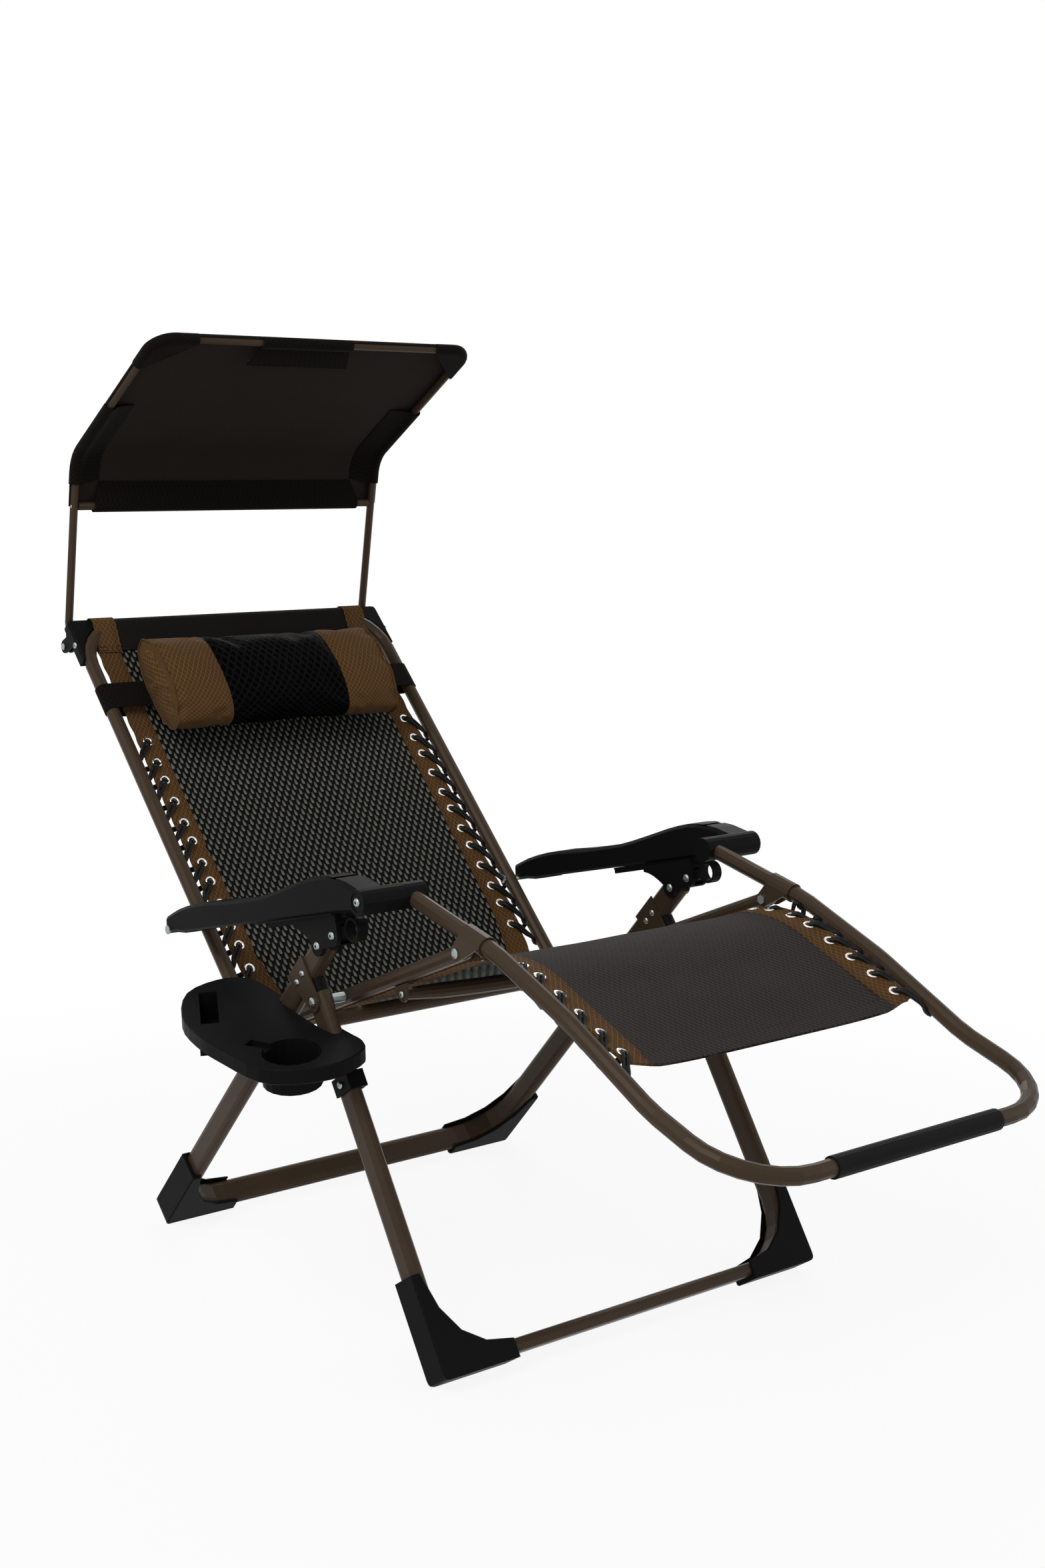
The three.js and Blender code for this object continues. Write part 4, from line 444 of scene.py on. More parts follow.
def add_run(dense, start, end):
    steps = max(1, int((end - start).length / RUN_STEP))
    dense.extend(start.lerp(end, k / steps) for k in range(steps + 1))


def even(dense, spacing):
    """Stations at equal distances along close points."""
    runs = [0.0]
    for a, b in zip(dense, dense[1:]):
        runs.append(runs[-1] + (b - a).length)
    count = max(2, round(runs[-1] / spacing))
    stations, i = [], 0
    for k in range(count + 1):
        run = runs[-1] * k / count
        while i < len(dense) - 2 and runs[i + 1] < run:
            i += 1
        straight = i
        while (dense[straight + 1] - dense[straight]).length < 1e-6 and straight:
            straight -= 1
        point = dense[i].lerp(dense[i + 1], (run - runs[i]) / max(runs[i + 1] - runs[i], 1e-9))
        stations.append((point, (dense[straight + 1] - dense[straight]).normalized(), run))
    return stations


def along_line(stations, run):
    """Point and tangent at a run between the stations of a line."""
    index = min(range(len(stations)), key=lambda i: abs(stations[i][2] - run))
    other = min(index + 1, len(stations) - 1) if stations[index][2] <= run else max(index - 1, 0)
    (point, tangent, start), (next_point, next_tangent, end) = stations[index], stations[other]
    share = (run - start) / (end - start) if abs(end - start) > 1e-9 else 0.0
    return point.lerp(next_point, share), tangent.lerp(next_tangent, share).normalized()


def angles(turn):
    """Angles of a turn given by its start and size in degrees and its number of steps."""
    start, size, steps = turn
    return [math.radians(start + size * k / steps) for k in range(steps + 1)]


def smooth(share):
    held = min(1.0, max(0.0, share))
    return held * held * (3 - 2 * held)


def unevenness(x, y, reach, seed):
    """Smooth noise over a surface, with its reach across and along."""
    return noise.noise(Vector((x / reach[0], y / reach[1], seed)))


# Objects and node trees

def new_object(name, data, *materials):
    for material in materials:
        data.materials.append(material)
    obj = bpy.data.objects.new(name, data)
    bpy.context.scene.collection.objects.link(obj)
    return obj


class Graph:
    """A node tree with short calls for its nodes."""

    def __init__(self, owner):
        owner.use_nodes = True
        self.tree = owner.node_tree

    def feed(self, socket, value):
        if isinstance(value, bpy.types.NodeSocket):
            self.tree.links.new(value, socket)
        else:
            socket.default_value = value

    def node(self, kind, **inputs):
        made = self.tree.nodes.new(kind)
        for name, value in inputs.items():
            self.feed(made.inputs[name.replace("_", " ")], value)
        return made

    def math(self, operation, *values):
        made = self.node("ShaderNodeMath")
        made.operation = operation
        for socket, value in zip(made.inputs, values):
            self.feed(socket, value)
        return made.outputs[0]

    def plus(self, a, b):
        return self.math("ADD", a, b)

    def minus(self, a, b):
        return self.math("SUBTRACT", a, b)

    def times(self, a, b):
        return self.math("MULTIPLY", a, b)

    def object_place(self):
        return self.node("ShaderNodeTexCoord").outputs["Object"]

    def clear_rays(self):
        """1 for rays from the camera, from a reflection or through glass."""
        rays = self.node("ShaderNodeLightPath").outputs
        straight = self.math("MAXIMUM", rays["Is Camera Ray"], rays["Is Glossy Ray"])
        return self.math("MAXIMUM", straight, rays["Is Transmission Ray"])

    def put_out(self, kind, share, first, second):
        """Mix two shaders by a share as the tree's only result."""
        mix = self.node("ShaderNodeMixShader")
        for socket, value in zip(mix.inputs, (share, first.outputs[0], second.outputs[0])):
            self.feed(socket, value)
        self.feed(self.node(kind).inputs[0], mix.outputs[0])


# Camera, light and stage

def make_camera():
    turn, pitch, roll = (math.radians(v) for v in (CAMERA_TURN, CAMERA_PITCH, CAMERA_ROLL))
    behind = Vector((math.sin(turn) * math.cos(pitch), -math.cos(turn) * math.cos(pitch), math.sin(pitch)))
    level = Vector((math.cos(turn), math.sin(turn), 0))
    upright = behind.cross(level)
    right = level * math.cos(roll) + upright * math.sin(roll)
    up = upright * math.cos(roll) - level * math.sin(roll)
    data = bpy.data.cameras.new("camera")
    data.lens = CAMERA_LENS
    data.sensor_width = SENSOR_WIDTH
    data.clip_end = VIEW_REACH
    camera = new_object("camera", data)
    axes = Matrix((right, up, behind)).transposed().to_4x4()
    camera.matrix_world = Matrix.Translation(place(*CAMERA_PLACE)) @ axes
    bpy.context.scene.camera = camera


def make_lights():
    for name, position, target, size, power in LAMPS:
        data = bpy.data.lights.new(name, "AREA")
        data.shape = "RECTANGLE"
        data.size, data.size_y = size
        data.energy = power
        lamp = new_object(name, data)
        lamp.location = position
        lamp.rotation_mode = "QUATERNION"
        lamp.rotation_quaternion = (Vector(target) - Vector(position)).to_track_quat("-Z", "Y")


def make_world():
    """Soft light all round, and plain white for the camera and in reflections."""
    world = bpy.data.worlds.new("studio")
    bpy.context.scene.world = world
    graph = Graph(world)
    graph.tree.nodes.clear()
    lit = graph.node("ShaderNodeBackground", Color=WORLD_COLOUR, Strength=WORLD_LIGHT)
    seen = graph.node("ShaderNodeBackground", Color=(1, 1, 1, 1))
    graph.put_out("ShaderNodeOutputWorld", graph.clear_rays(), lit, seen)


def floor_share(graph):
    """How far the floor is plain white: less near the object, where it takes the shadow."""
    distance = graph.node("ShaderNodeVectorMath")
    distance.operation = "LENGTH"
    graph.feed(distance.inputs[0], graph.object_place())
    near_far = dict(From_Min=SHADOW_NEAR, From_Max=SHADOW_FAR, To_Min=SHADOW_SHARE)
    fade = graph.node("ShaderNodeMapRange", Value=distance.outputs["Value"], **near_far)
    fade.interpolation_type = "SMOOTHSTEP"
    return fade.outputs["Result"]


def make_floor():
    mesh = bpy.data.meshes.new("floor")
    corners = [(x * FLOOR_REACH, y * FLOOR_REACH, 0) for x, y in ((-1, -1), (1, -1), (1, 1), (-1, 1))]
    mesh.from_pydata(corners, [], [(0, 1, 2, 3)])
    material = bpy.data.materials.new("floor")
    graph = Graph(material)
    graph.tree.nodes.clear()
    matt = graph.node("ShaderNodeBsdfDiffuse", Color=FLOOR_COLOUR)
    glow = graph.node("ShaderNodeEmission")
    share = graph.times(graph.clear_rays(), floor_share(graph))
    graph.put_out("ShaderNodeOutputMaterial", share, matt, glow)
    new_object("floor", mesh, material)


# Finishes

class Finish(Graph):
    """A material with its shader and short calls for its looks."""

    def __init__(self, name, colour, roughness, metallic=0.0, gloss=0.5):
        self.material = bpy.data.materials.new(name)
        super().__init__(self.material)
        self.shader = self.tree.nodes["Principled BSDF"]
        self.set("Base Color", (*colour, 1))
        self.set("Roughness", roughness)
        self.set("Metallic", metallic)
        self.set("Specular IOR Level", gloss)

    def set(self, name, value):
        self.feed(self.shader.inputs[name], value)

    def colour(self, value):
        self.set("Base Color", value)

    def rough(self, value):
        self.set("Roughness", value)

    def bump(self, height, strength, depth):
        """Relief with its depth in millimetres."""
        made = self.node("ShaderNodeBump", Height=height, Strength=strength, Distance=depth * MM)
        self.set("Normal", made.outputs["Normal"])

    def noise(self, scale, detail=2.0):
        made = self.node("ShaderNodeTexNoise", Vector=self.object_place(), Scale=scale, Detail=detail)
        return made.outputs["Fac"]

    def uv(self):
        split = self.node("ShaderNodeSeparateXYZ", Vector=self.node("ShaderNodeUVMap").outputs["UV"])
        return split.outputs["X"], split.outputs["Y"]

    def ramp(self, value, low, high):
        return self.node("ShaderNodeMapRange", Value=value, From_Min=low, From_Max=high).outputs["Result"]

    def mix(self, share, first, second):
        """A colour between two, each a socket or a plain colour."""
        made = self.node("ShaderNodeMix")
        made.data_type = "RGBA"
        self.feed(made.inputs[0], share)
        for socket, value in ((made.inputs[6], first), (made.inputs[7], second)):
            self.feed(socket, (*value, 1) if isinstance(value, tuple) else value)
        return made.outputs[2]


def shaded(colour, share):
    return tuple(channel * share for channel in colour)


def powder_coat():
    """Brown bronze powder coat: fine orange peel and a faint fleck."""
    f = Finish("bronze_coat", (0.056, 0.038, 0.025), 0.34, 0.1, 0.08)
    fleck = f.ramp(f.noise(5200.0, 1.0), 0.52, 0.74)
    cloud = f.noise(14.0, 3.0)
    base = f.mix(cloud, (0.045, 0.029, 0.0175), (0.061, 0.0405, 0.0245))
    f.colour(f.mix(f.times(fleck, 0.1), base, (0.12, 0.09, 0.065)))
    f.rough(f.plus(f.times(cloud, 0.1), 0.28))
    f.bump(f.noise(900.0), 0.03, 0.2)
    return f.material


def moulded_plastic():
    """Black moulded plastic with a fine spark-eroded grain."""
    f = Finish("satin_plastic", (0.0075, 0.0075, 0.0078), 0.42, 0.0, 0.022)
    spark = f.noise(2600.0, 3.0)
    f.colour(f.mix(f.noise(9.0), (0.006375, 0.006375, 0.006375), (0.009, 0.009, 0.009375)))
    f.rough(f.plus(f.times(spark, 0.22), 0.31))
    f.bump(spark, 0.22, 0.3)
    return f.material


def plated_steel(name, colour, roughness):
    """Zinc or nickel plate with a fine grain and cloudy tone."""
    f = Finish(name, colour, roughness, 1.0)
    cloud = f.noise(160.0, 3.0)
    f.colour(f.mix(cloud, shaded(colour, 0.8), colour))
    f.rough(f.plus(f.times(cloud, 0.2), roughness - 0.08))
    f.bump(f.noise(1500.0), 0.06, 0.2)
    return f.material


def diamond_cells(f, cell):
    """Two sets of slanting lines as shares within their cells."""
    a, b = (f.math("DIVIDE", value, size * MM) for value, size in zip(f.uv(), cell))
    return f.math("FRACT", f.plus(a, b)), f.math("FRACT", f.minus(a, b))


def near_line(f, share, width):
    """1 on the line at the cell's edge, fading to 0 over its width."""
    return f.ramp(from_edge(f, share), width, 0.0)


def from_edge(f, share):
    """Distance to the nearest cell edge as a share of the cell."""
    return f.minus(0.5, f.math("ABSOLUTE", f.minus(share, 0.5)))


def woven(f):
    """Waves of single threads both ways."""
    turns = 2 * math.pi / (THREAD_PITCH * MM)
    first, second = (f.math("SINE", f.times(value, turns)) for value in f.uv())
    return f.times(first, second)


def dyed(f, ground, scale):
    """Cloth's ground colour, a little cloudy."""
    return f.mix(f.noise(scale, 3.0), shaded(ground, 0.85), shaded(ground, 1.12))


def ripstop(name, ground, thread, second_share=0.8, seams=()):
    """Plain-woven cloth with a slanting lattice of thicker threads, and rows of stitches."""
    f = Finish(name, ground, 0.72, 0.0, 0.02)
    first, second = diamond_cells(f, RIPSTOP_CELL)
    weaker = f.times(near_line(f, second, RIPSTOP_LINE), second_share)
    lines = f.math("MAXIMUM", near_line(f, first, RIPSTOP_LINE), weaker)
    colour = f.mix(f.times(lines, 0.8), dyed(f, ground, 26.0), thread)
    height = f.plus(f.times(lines, 0.5), f.times(woven(f), 0.12))
    for offset in seams:
        row = stitch_row(f, offset)
        colour = f.mix(row, colour, shaded(ground, 0.35))
        height = f.minus(height, row)
    f.colour(colour)
    f.bump(height, 0.45, 0.4)
    f.set("Sheen Weight", 0.03)
    f.set("Sheen Roughness", 0.45)
    return f.material


def stitch_row(f, offset):
    """Dashes along a line at a distance either side of the middle."""
    u, v = f.uv()
    away = f.math("ABSOLUTE", f.minus(f.math("ABSOLUTE", u), offset * MM))
    on_row = f.ramp(away, *(width * MM for width in SEWN_THREAD))
    dash = f.ramp(from_edge(f, f.math("FRACT", f.math("DIVIDE", v, SEWN_PITCH * MM))), 0.12, 0.2)
    return f.times(on_row, dash)


def air_mesh(name, pad, knit, gap):
    """Knitted lattice over teardrop pads in staggered rows, with painted light and shade across each pad,
    and the gaps between the pads painted darker than the knit as shade.
    """
    f = Finish(name, knit, 0.62, 0.0, 0.02)
    first, second = diamond_cells(f, MESH_CELL)
    along = f.minus(first, second)
    across = f.minus(f.plus(first, second), 1.0)
    taper = f.plus(2.6, f.times(along, 1.3))
    wide = f.math("POWER", f.math("ABSOLUTE", f.times(across, taper)), 2.0)
    long = f.math("POWER", f.math("ABSOLUTE", f.times(along, 1.5)), 2.0)
    from_middle = f.plus(wide, long)
    on_pad = f.ramp(from_middle, 1.0, 0.72)
    grain = f.noise(900.0)
    # Painted light and shade on each pad: lighter towards one end, darker towards the other, varied by the
    # grain.
    lit = f.times(f.minus(0.85, along), f.plus(f.times(grain, 0.5), 0.65))
    pad_painted_shading = f.mix(f.math("MINIMUM", lit, 1.0), shaded(pad, 0.25), pad)
    thread = near_line(f, second, MESH_LINE)
    # Off the pads the colour is the gap colour, painted shade between the pads, with the knit colour on the
    # threads.
    f.colour(f.mix(on_pad, f.mix(thread, gap, knit), pad_painted_shading))
    rise = f.plus(f.times(on_pad, f.minus(1.3, from_middle)), thread)
    f.bump(f.plus(rise, f.times(grain, 0.15)), 0.8, 1.0)
    return f.material


def open_mesh(name, knit, hole):
    """Black knit with open diamonds."""
    f = Finish(name, knit, 0.6, 0.0, 0.01)
    first, second = diamond_cells(f, MESH_CELL)
    lines = f.math("MAXIMUM", near_line(f, first, MESH_LINE), near_line(f, second, MESH_LINE))
    strands = f.math("MINIMUM", f.times(lines, 1.8), 1.0)
    f.colour(f.mix(strands, hole, knit))
    f.bump(f.plus(strands, f.times(f.noise(1400.0), 0.2)), 0.7, 1.0)
    return f.material


def fine_cloth(name, ground):
    """Tight plain cloth with fine threads both ways."""
    f = Finish(name, ground, 0.7, 0.0, 0.015)
    slub = f.noise(420.0)
    f.colour(f.mix(f.times(slub, 0.3), dyed(f, ground, 18.0), shaded(ground, 1.5)))
    f.bump(f.plus(slub, f.times(woven(f), 0.15)), 0.3, 0.3)
    f.set("Sheen Weight", 0.02)
    return f.material


def soft_black(name, tones, roughness, gloss, grain, bump):
    """Braided elastic or closed-cell foam: tones are its mean, dark and light colour."""
    f = Finish(name, tones[0], roughness, 0.0, gloss)
    scale, detail, low, high = grain
    speck = f.noise(scale, detail)
    f.colour(f.mix(f.ramp(speck, low, high), tones[1], tones[2]))
    f.bump(speck, *bump)
    return f.material


BROWN = ((0.082, 0.0405, 0.0140), (0.235, 0.137, 0.064))
CORD_TONES = ((0.006, 0.006, 0.0065), (0.004, 0.004, 0.0045), (0.013, 0.013, 0.014))
FOAM_TONES = ((0.0065, 0.0065, 0.0072), (0.0045, 0.0045, 0.005), (0.0095, 0.0095, 0.0105))
looks = {
    "bronze_frame": powder_coat(),
    "black_plastic": moulded_plastic(),
    "zinc": plated_steel("zinc_plate", (0.40, 0.44, 0.44), 0.38),
    "nickel": plated_steel("nickel_plate", (0.8, 0.78, 0.74), 0.2),
    "elastic_cord": soft_black("elastic_cord", CORD_TONES, 0.4, 0.12, (2200.0, 1.0, 0.4, 0.7), (0.5, 0.4)),
    "grip_rubber": soft_black("foam_grip", FOAM_TONES, 0.52, 0.05, (1300.0, 3.0, 0.35, 0.65), (0.3, 0.6)),
    # For the air mesh, the pad colour is the light end of the painted shading on the pads, and the last
    # colour is painted shade in the gaps between them.
    "mesh": air_mesh("air_mesh", (0.16, 0.165, 0.135), (0.0095, 0.008, 0.0075), (0.0035, 0.0032, 0.003)),
    "pillow_mesh": open_mesh("pillow_air_mesh", (0.0062, 0.0056, 0.0055), (0.0008, 0.0008, 0.0008)),
    "leg_cloth": ripstop("leg_cloth", (0.028, 0.0245, 0.0218), (0.105, 0.094, 0.086), 0.3),
    "brown": ripstop("brown_ripstop", *BROWN),
    "brown_band": ripstop("brown_band", *BROWN, seams=(2.5, 6.5)),
    "brown_strap": ripstop("brown_strap", *BROWN, seams=(225.5, 229.5)),
    "black_ripstop": ripstop("black_ripstop", (0.0062, 0.005, 0.0044), (0.015, 0.012, 0.0105)),
    "panel": fine_cloth("panel_cloth", (0.0115, 0.0095, 0.009)),
    "canopy_cloth": fine_cloth("canopy_cloth", (0.0190, 0.0143, 0.0118)),
}


def dress_cad():
    """Finish, smooth shading and small edge radii for the CAD nodes that stay."""
    for part in frame["record"]["subparts"]:
        obj = frame["nodes"][part["node"]]
        slot = part["material_slot"]
        obj.data.materials.clear()
        obj.data.materials.append(looks.get(slot, looks["black_plastic"]))
        obj.data.shade_smooth()
        if slot == "black_plastic":
            edge = obj.modifiers.new("edge", "BEVEL")
            edge.width = EDGE_RADIUS * MM
            edge.segments = 2
            edge.limit_method = "ANGLE"
            edge.angle_limit = math.radians(EDGE_ANGLE)
        smoother = obj.modifiers.new("smooth", "WEIGHTED_NORMAL")
        smoother.keep_sharp = True
        sharpen(obj.data, SHARP_CAD)


def sharpen(mesh, degrees):
    """Mark edges above an angle as sharp."""
    edit = bmesh.new()
    edit.from_mesh(mesh)
    for edge in edit.edges:
        if len(edge.link_faces) == 2 and edge.calc_face_angle(0) > math.radians(degrees):
            edge.smooth = False
    edit.to_mesh(mesh)
    edit.free()


# Meshes

def sheet_object(name, grid, half_thickness, look):
    """Closed thin cloth over rows of (place, normal, uv), with uv in metres."""
    cells = [cell for row in grid for cell in row]
    rows, columns = len(grid), len(grid[0])
    verts = [point + normal * face * half_thickness * MM for face in (1, -1) for point, normal, _ in cells]
    top = [[i * columns + k for k in range(columns)] for i in range(rows)]
    low = [[index + len(cells) for index in row] for row in top]
    faces = []
    for i in range(rows - 1):
        for k in range(columns - 1):
            faces.append((top[i][k], top[i][k + 1], top[i + 1][k + 1], top[i + 1][k]))
            faces.append((low[i][k], low[i + 1][k], low[i + 1][k + 1], low[i][k + 1]))
    for i in range(rows - 1):
        first, last = ((top[i][k], top[i + 1][k], low[i + 1][k], low[i][k]) for k in (0, -1))
        faces += [first, last[::-1]]
    for k in range(columns - 1):
        first, last = ((top[i][k], top[i][k + 1], low[i][k + 1], low[i][k]) for i in (0, -1))
        faces += [first, last[::-1]]
    mesh = bpy.data.meshes.new(name)
    mesh.from_pydata(verts, [], faces)
    mesh.shade_smooth()
    layer = mesh.uv_layers.new(name="UVMap")
    for loop in mesh.loops:
        layer.data[loop.index].uv = cells[loop.vertex_index % len(cells)][2]
    fix_faces(mesh)
    sharpen(mesh, SHARP_CLOTH)
    return new_object(name, mesh, look)


def fix_faces(mesh):
    edit = bmesh.new()
    edit.from_mesh(mesh)
    bmesh.ops.recalc_face_normals(edit, faces=edit.faces)
    edit.to_mesh(mesh)
    edit.free()


def curve_object(name, strands, radius, look):
    """Round cord along smooth splines."""
    data = bpy.data.curves.new(name, "CURVE")
    data.dimensions = "3D"
    data.bevel_depth = radius * MM
    data.bevel_resolution = 2
    data.resolution_u = 4
    data.use_fill_caps = True
    for points in strands:
        spline = data.splines.new("BEZIER")
        spline.bezier_points.add(len(points) - 1)
        for target, point in zip(spline.bezier_points, points):
            target.co = point
            target.handle_left_type = target.handle_right_type = "AUTO"
    return new_object(name, data, look)


# Line of the sling in the side view

back_line = back.at(0, BACK_OFFSET)
seat_line = rails.at(0, SEAT_OFFSET)
leg_line = leg_rest.at(*LEG_LINE_POINT)
hip = meet(back_line, BACK_SLOPE, seat_line, RAIL_SLOPE)
knee = meet(seat_line, RAIL_SLOPE, leg_line, LEG_LINE_SLOPE)
sling_top = back.at(SLING_TOP, BACK_OFFSET)
hem_drop = (HEM_Y - LEG_LINE_POINT[0]) * math.tan(math.radians(LEG_LINE_SLOPE))
hem_end = leg_rest.at(HEM_Y, LEG_LINE_POINT[1] + hem_drop)
line = rounded_line([sling_top, hip, knee, hem_end], [HIP_RADIUS, KNEE_RADIUS], SLING_STEP)
line_length = line[-1][2]


def nearest_run(target):
    return min(line, key=lambda station: (station[0] - target).length)[2]


HIP_RUN = nearest_run(hip)
KNEE_RUN = nearest_run(leg_rest.origin)
seat_stations = [station for station in line if station[2] >= HIP_RUN]
SEAM_RUN = min(seat_stations, key=lambda station: abs(station[0].x - SEAT_SEAM_Y))[2]


def hip_share(run):
    """0 up the back, 1 from the hip on."""
    return smooth((run - HIP_RUN + HIP_NARROWS) / HIP_NARROWS)


def span(run):
    """Half width and sag of the sling at a distance down its line."""
    if run < HIP_RUN:
        sag = BACK_SAG + (SEAT_SAG - BACK_SAG) * (run / HIP_RUN) ** BACK_SAG_POWER
        half = HALF_BACK + (HALF_HIP - HALF_BACK) * hip_share(run)
        return half, sag * min(1.0, TOP_SAG_SHARE + run / TOP_SAG_REACH)
    if run < KNEE_RUN:
        return HALF_HIP, SEAT_SAG
    share = (run - KNEE_RUN) / (line_length - KNEE_RUN)
    sag = SEAT_SAG + (LEG_SAG - SEAT_SAG) * min(1.0, share * 2) + HEM_SAG * smooth(2 * share - 1)
    return HALF_HIP + (HALF_HEM - HALF_HIP) * share, sag


def band_inner(run):
    """Half width of the cloth between the bands."""
    return BAND_INNER_BACK + (BAND_INNER_LEG - BAND_INNER_BACK) * hip_share(run)


def sling_place(run, x, lift=0.0):
    """Place and upper normal on the sling, which hangs with a flatter middle on the leg rest."""
    point, tangent = along_line(line, run)
    half, sag = span(run)
    up = Vector((tangent.y, -tangent.x))
    on_seat, on_leg = SAG_POWERS
    power = on_seat + (on_leg - on_seat) * smooth((run - SEAM_RUN) / (KNEE_RUN - SEAM_RUN))
    edge = min(1.0, abs(x) / half)
    middle = point + up * (lift - sag * (1 - edge ** power))
    lean = power * sag * math.copysign(edge ** (power - 1), x) / half
    return place(x, middle.x, middle.y), Vector((-lean, up.x, up.y)).normalized()


def cloth_strip(name, runs, edges, columns, half_thickness, look, unevenly=0.0):
    """Cloth between two runs; edges gives its two sides at a run."""
    run_from, run_to = runs
    rows = max(2, int((run_to - run_from) / SLING_STEP))
    grid = []
    for i in range(rows + 1):
        run = run_from + (run_to - run_from) * i / rows
        left, right = edges(run)
        seam = band_inner(run) if left * right > 0 else 0.0
        row = []
        for k in range(columns + 1):
            x = left + (right - left) * k / columns
            spot, normal = sling_place(run - hem_corner(run, x), x, ripple(run, x, unevenly))
            row.append((spot, normal, ((abs(x) - seam if seam else x) * MM, -run * MM)))
        grid.append(row)
    return sheet_object(name, grid, half_thickness, look)


def hem_corner(run, x):
    """How far the hem's corners are drawn back."""
    outward = smooth((abs(x) - BAND_INNER_LEG + HEM_CORNER_INSIDE) / HEM_CORNER_WIDTH)
    return HEM_CORNER * outward * smooth((run - line_length + HEM_CORNER_REACH) / HEM_CORNER_REACH)


def ripple(run, x, amount):
    """Small unevenness of stretched cloth, pulled towards the eyelets."""
    if not amount:
        return 0.0
    wave = math.sin(2 * math.pi * run / GROMMET_PITCH)
    pull = EYELET_PULL_SHARE * wave * max(0.0, (abs(x) - EYELET_PULL_FROM) / EYELET_PULL_WIDTH)
    near_hem = max(0.0, 1 - (line_length - run) / HEM_WAVE_REACH)
    hump = HEM_WAVE * math.sin(math.pi * near_hem) * math.cos(x / HEM_WAVE_ACROSS) * near_hem
    return amount * (pull + unevenness(x, run, RIPPLE_REACH, 0.3)) - hump


def middle_strip(name, runs, half_thickness, look, unevenly=0.0):
    def edges(run):
        return -band_inner(run) - BAND_LAP, band_inner(run) + BAND_LAP
    return cloth_strip(name, runs, edges, SLING_COLUMNS, half_thickness, look, unevenly)


def band_strip(name, runs, side, half_thickness):
    """Brown band with its outer edge drawn in between the eyelets."""
    def edges(run):
        turns = (run - first_grommet_run(run)) / GROMMET_PITCH
        outer = span(run)[0] + BAND_SCALLOP * math.cos(2 * math.pi * turns)
        return (band_inner(run), outer) if side > 0 else (-outer, -band_inner(run))
    return cloth_strip(name, runs, edges, BAND_COLUMNS, half_thickness, looks["brown_band"])


def first_grommet_run(run):
    if run < HIP_RUN:
        return SLING_TOP - BACK_GROMMET_TOP
    return SEAM_RUN if run < KNEE_RUN else nearest_run(leg_tube(LEG_GROMMET_REAR))


def leg_tube(forward):
    """Centre of the leg rest tube in the side view."""
    points = [Vector(point) for point in LEG_TUBE_LINE]
    for a, b in zip(points, points[1:]):
        if b.x <= -forward <= a.x:
            share = (a.x + forward) / (a.x - b.x)
            return leg_rest.at(-forward, a.y + (b.y - a.y) * share)
    return leg_rest.at(-forward, points[-1].y)


def make_sling():
    make_centre()
    make_leg_cloth()
    for side, word in SIDES:
        upper = band_strip(f"sling_band_back_{word}", (0, SEAM_RUN + SEAM_LAP), side, BAND_HALF)
        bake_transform(upper)
        lower = band_strip(f"sling_band_leg_{word}", (SEAM_RUN, line_length + HEM_OVER), side, LEG_BAND_HALF)
        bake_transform(lower)


def make_centre():
    """Air mesh of the back and seat in one sheet."""
    length = SEAM_RUN + SEAM_LAP
    centre = middle_strip("sling_mesh", (0, length), CLOTH_HALF, looks["mesh"], BACK_RIPPLE)
    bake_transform(centre)
    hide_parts("back_sling", "seat_sling")


def make_leg_cloth():
    """Plain cloth of the leg rest with its turned hem."""
    look = looks["leg_cloth"]
    runs = (SEAM_RUN, line_length)
    apron = middle_strip("sling_leg_cloth", runs, CLOTH_HALF, look, LEG_RIPPLE)
    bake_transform(apron)
    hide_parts("leg_rest_sling")
    hem = middle_strip("sling_hem", (line_length - HEM_DEPTH, line_length + HEM_OVER), HEM_HALF, look)
    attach(hem, "leg_rest")


# Loops of cloth over the top bar

def back_place(x, along, above):
    point = back.at(along, above)
    return place(x, point.x, point.y)


def loop_section(radius, low):
    """Places and normals from the front hem over the tube and down behind, in the back's axes."""
    tilt = math.asin((radius + LOOP_RISE) / (BACK_LENGTH - low)) * LOOP_TILT_SHARE
    front = Vector((low, BACK_OFFSET + CLOTH_HALF + LOOP_OFF_SLING))
    behind = Vector((low, BACK_OFFSET - CLOTH_HALF - LOOP_OFF_SLING))
    crest = Vector((BACK_LENGTH - radius * math.sin(tilt), radius * math.cos(tilt)))
    facing = Vector((-math.sin(tilt), math.cos(tilt)))
    up, over, down = LOOP_ROWS
    section = [(front.lerp(crest, k / up), facing) for k in range(up)]
    for k in range(over + 1):
        angle = -tilt + (math.pi + LOOP_PAST * tilt) * k / over
        normal = Vector((math.sin(angle), math.cos(angle)))
        section.append((Vector((BACK_LENGTH, 0)) + normal * radius, normal))
    last = section[-1][0]
    return section + [(last.lerp(behind, k / down), Vector((0, -1))) for k in range(1, down + 1)]


def bar_loop(name, edges, columns, radius, low, look):
    """Cloth over the bar of the back, between two distances across."""
    section = loop_section(radius, low)
    x_from, x_to = edges
    grid, run, before = [], 0.0, section[0][0]
    for spot, normal in section:
        run += (spot - before).length
        before = spot
        facing = side_vector(back.along * normal.x + back.above * normal.y)
        row = []
        for k in range(columns + 1):
            x = x_from + (x_to - x_from) * k / columns
            sag = panel_sag(x, run, abs(x_to - x_from))
            row.append((back_place(x, spot.x, spot.y - sag), facing, (x * MM, run * MM)))
        grid.append(row)
    loop = sheet_object(name, grid, TRIM_HALF, look)
    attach(loop, "backrest")
    return loop


def panel_sag(x, run, width):
    """Slack and a few soft folds of the wide panel's front; none in the narrow straps."""
    if width < PANEL_HALF or run > PANEL_FRONT:
        return 0.0
    near = max(0.0, (abs(x) - PANEL_FOLD_FROM) / PANEL_FOLD_WIDTH) ** 2
    fold = PANEL_FOLD * near * math.sin(abs(x) * PANEL_FOLD_WAVES[0] + run * PANEL_FOLD_WAVES[1])
    return math.sin(math.pi * run / PANEL_FRONT) * (PANEL_SWELL + fold)


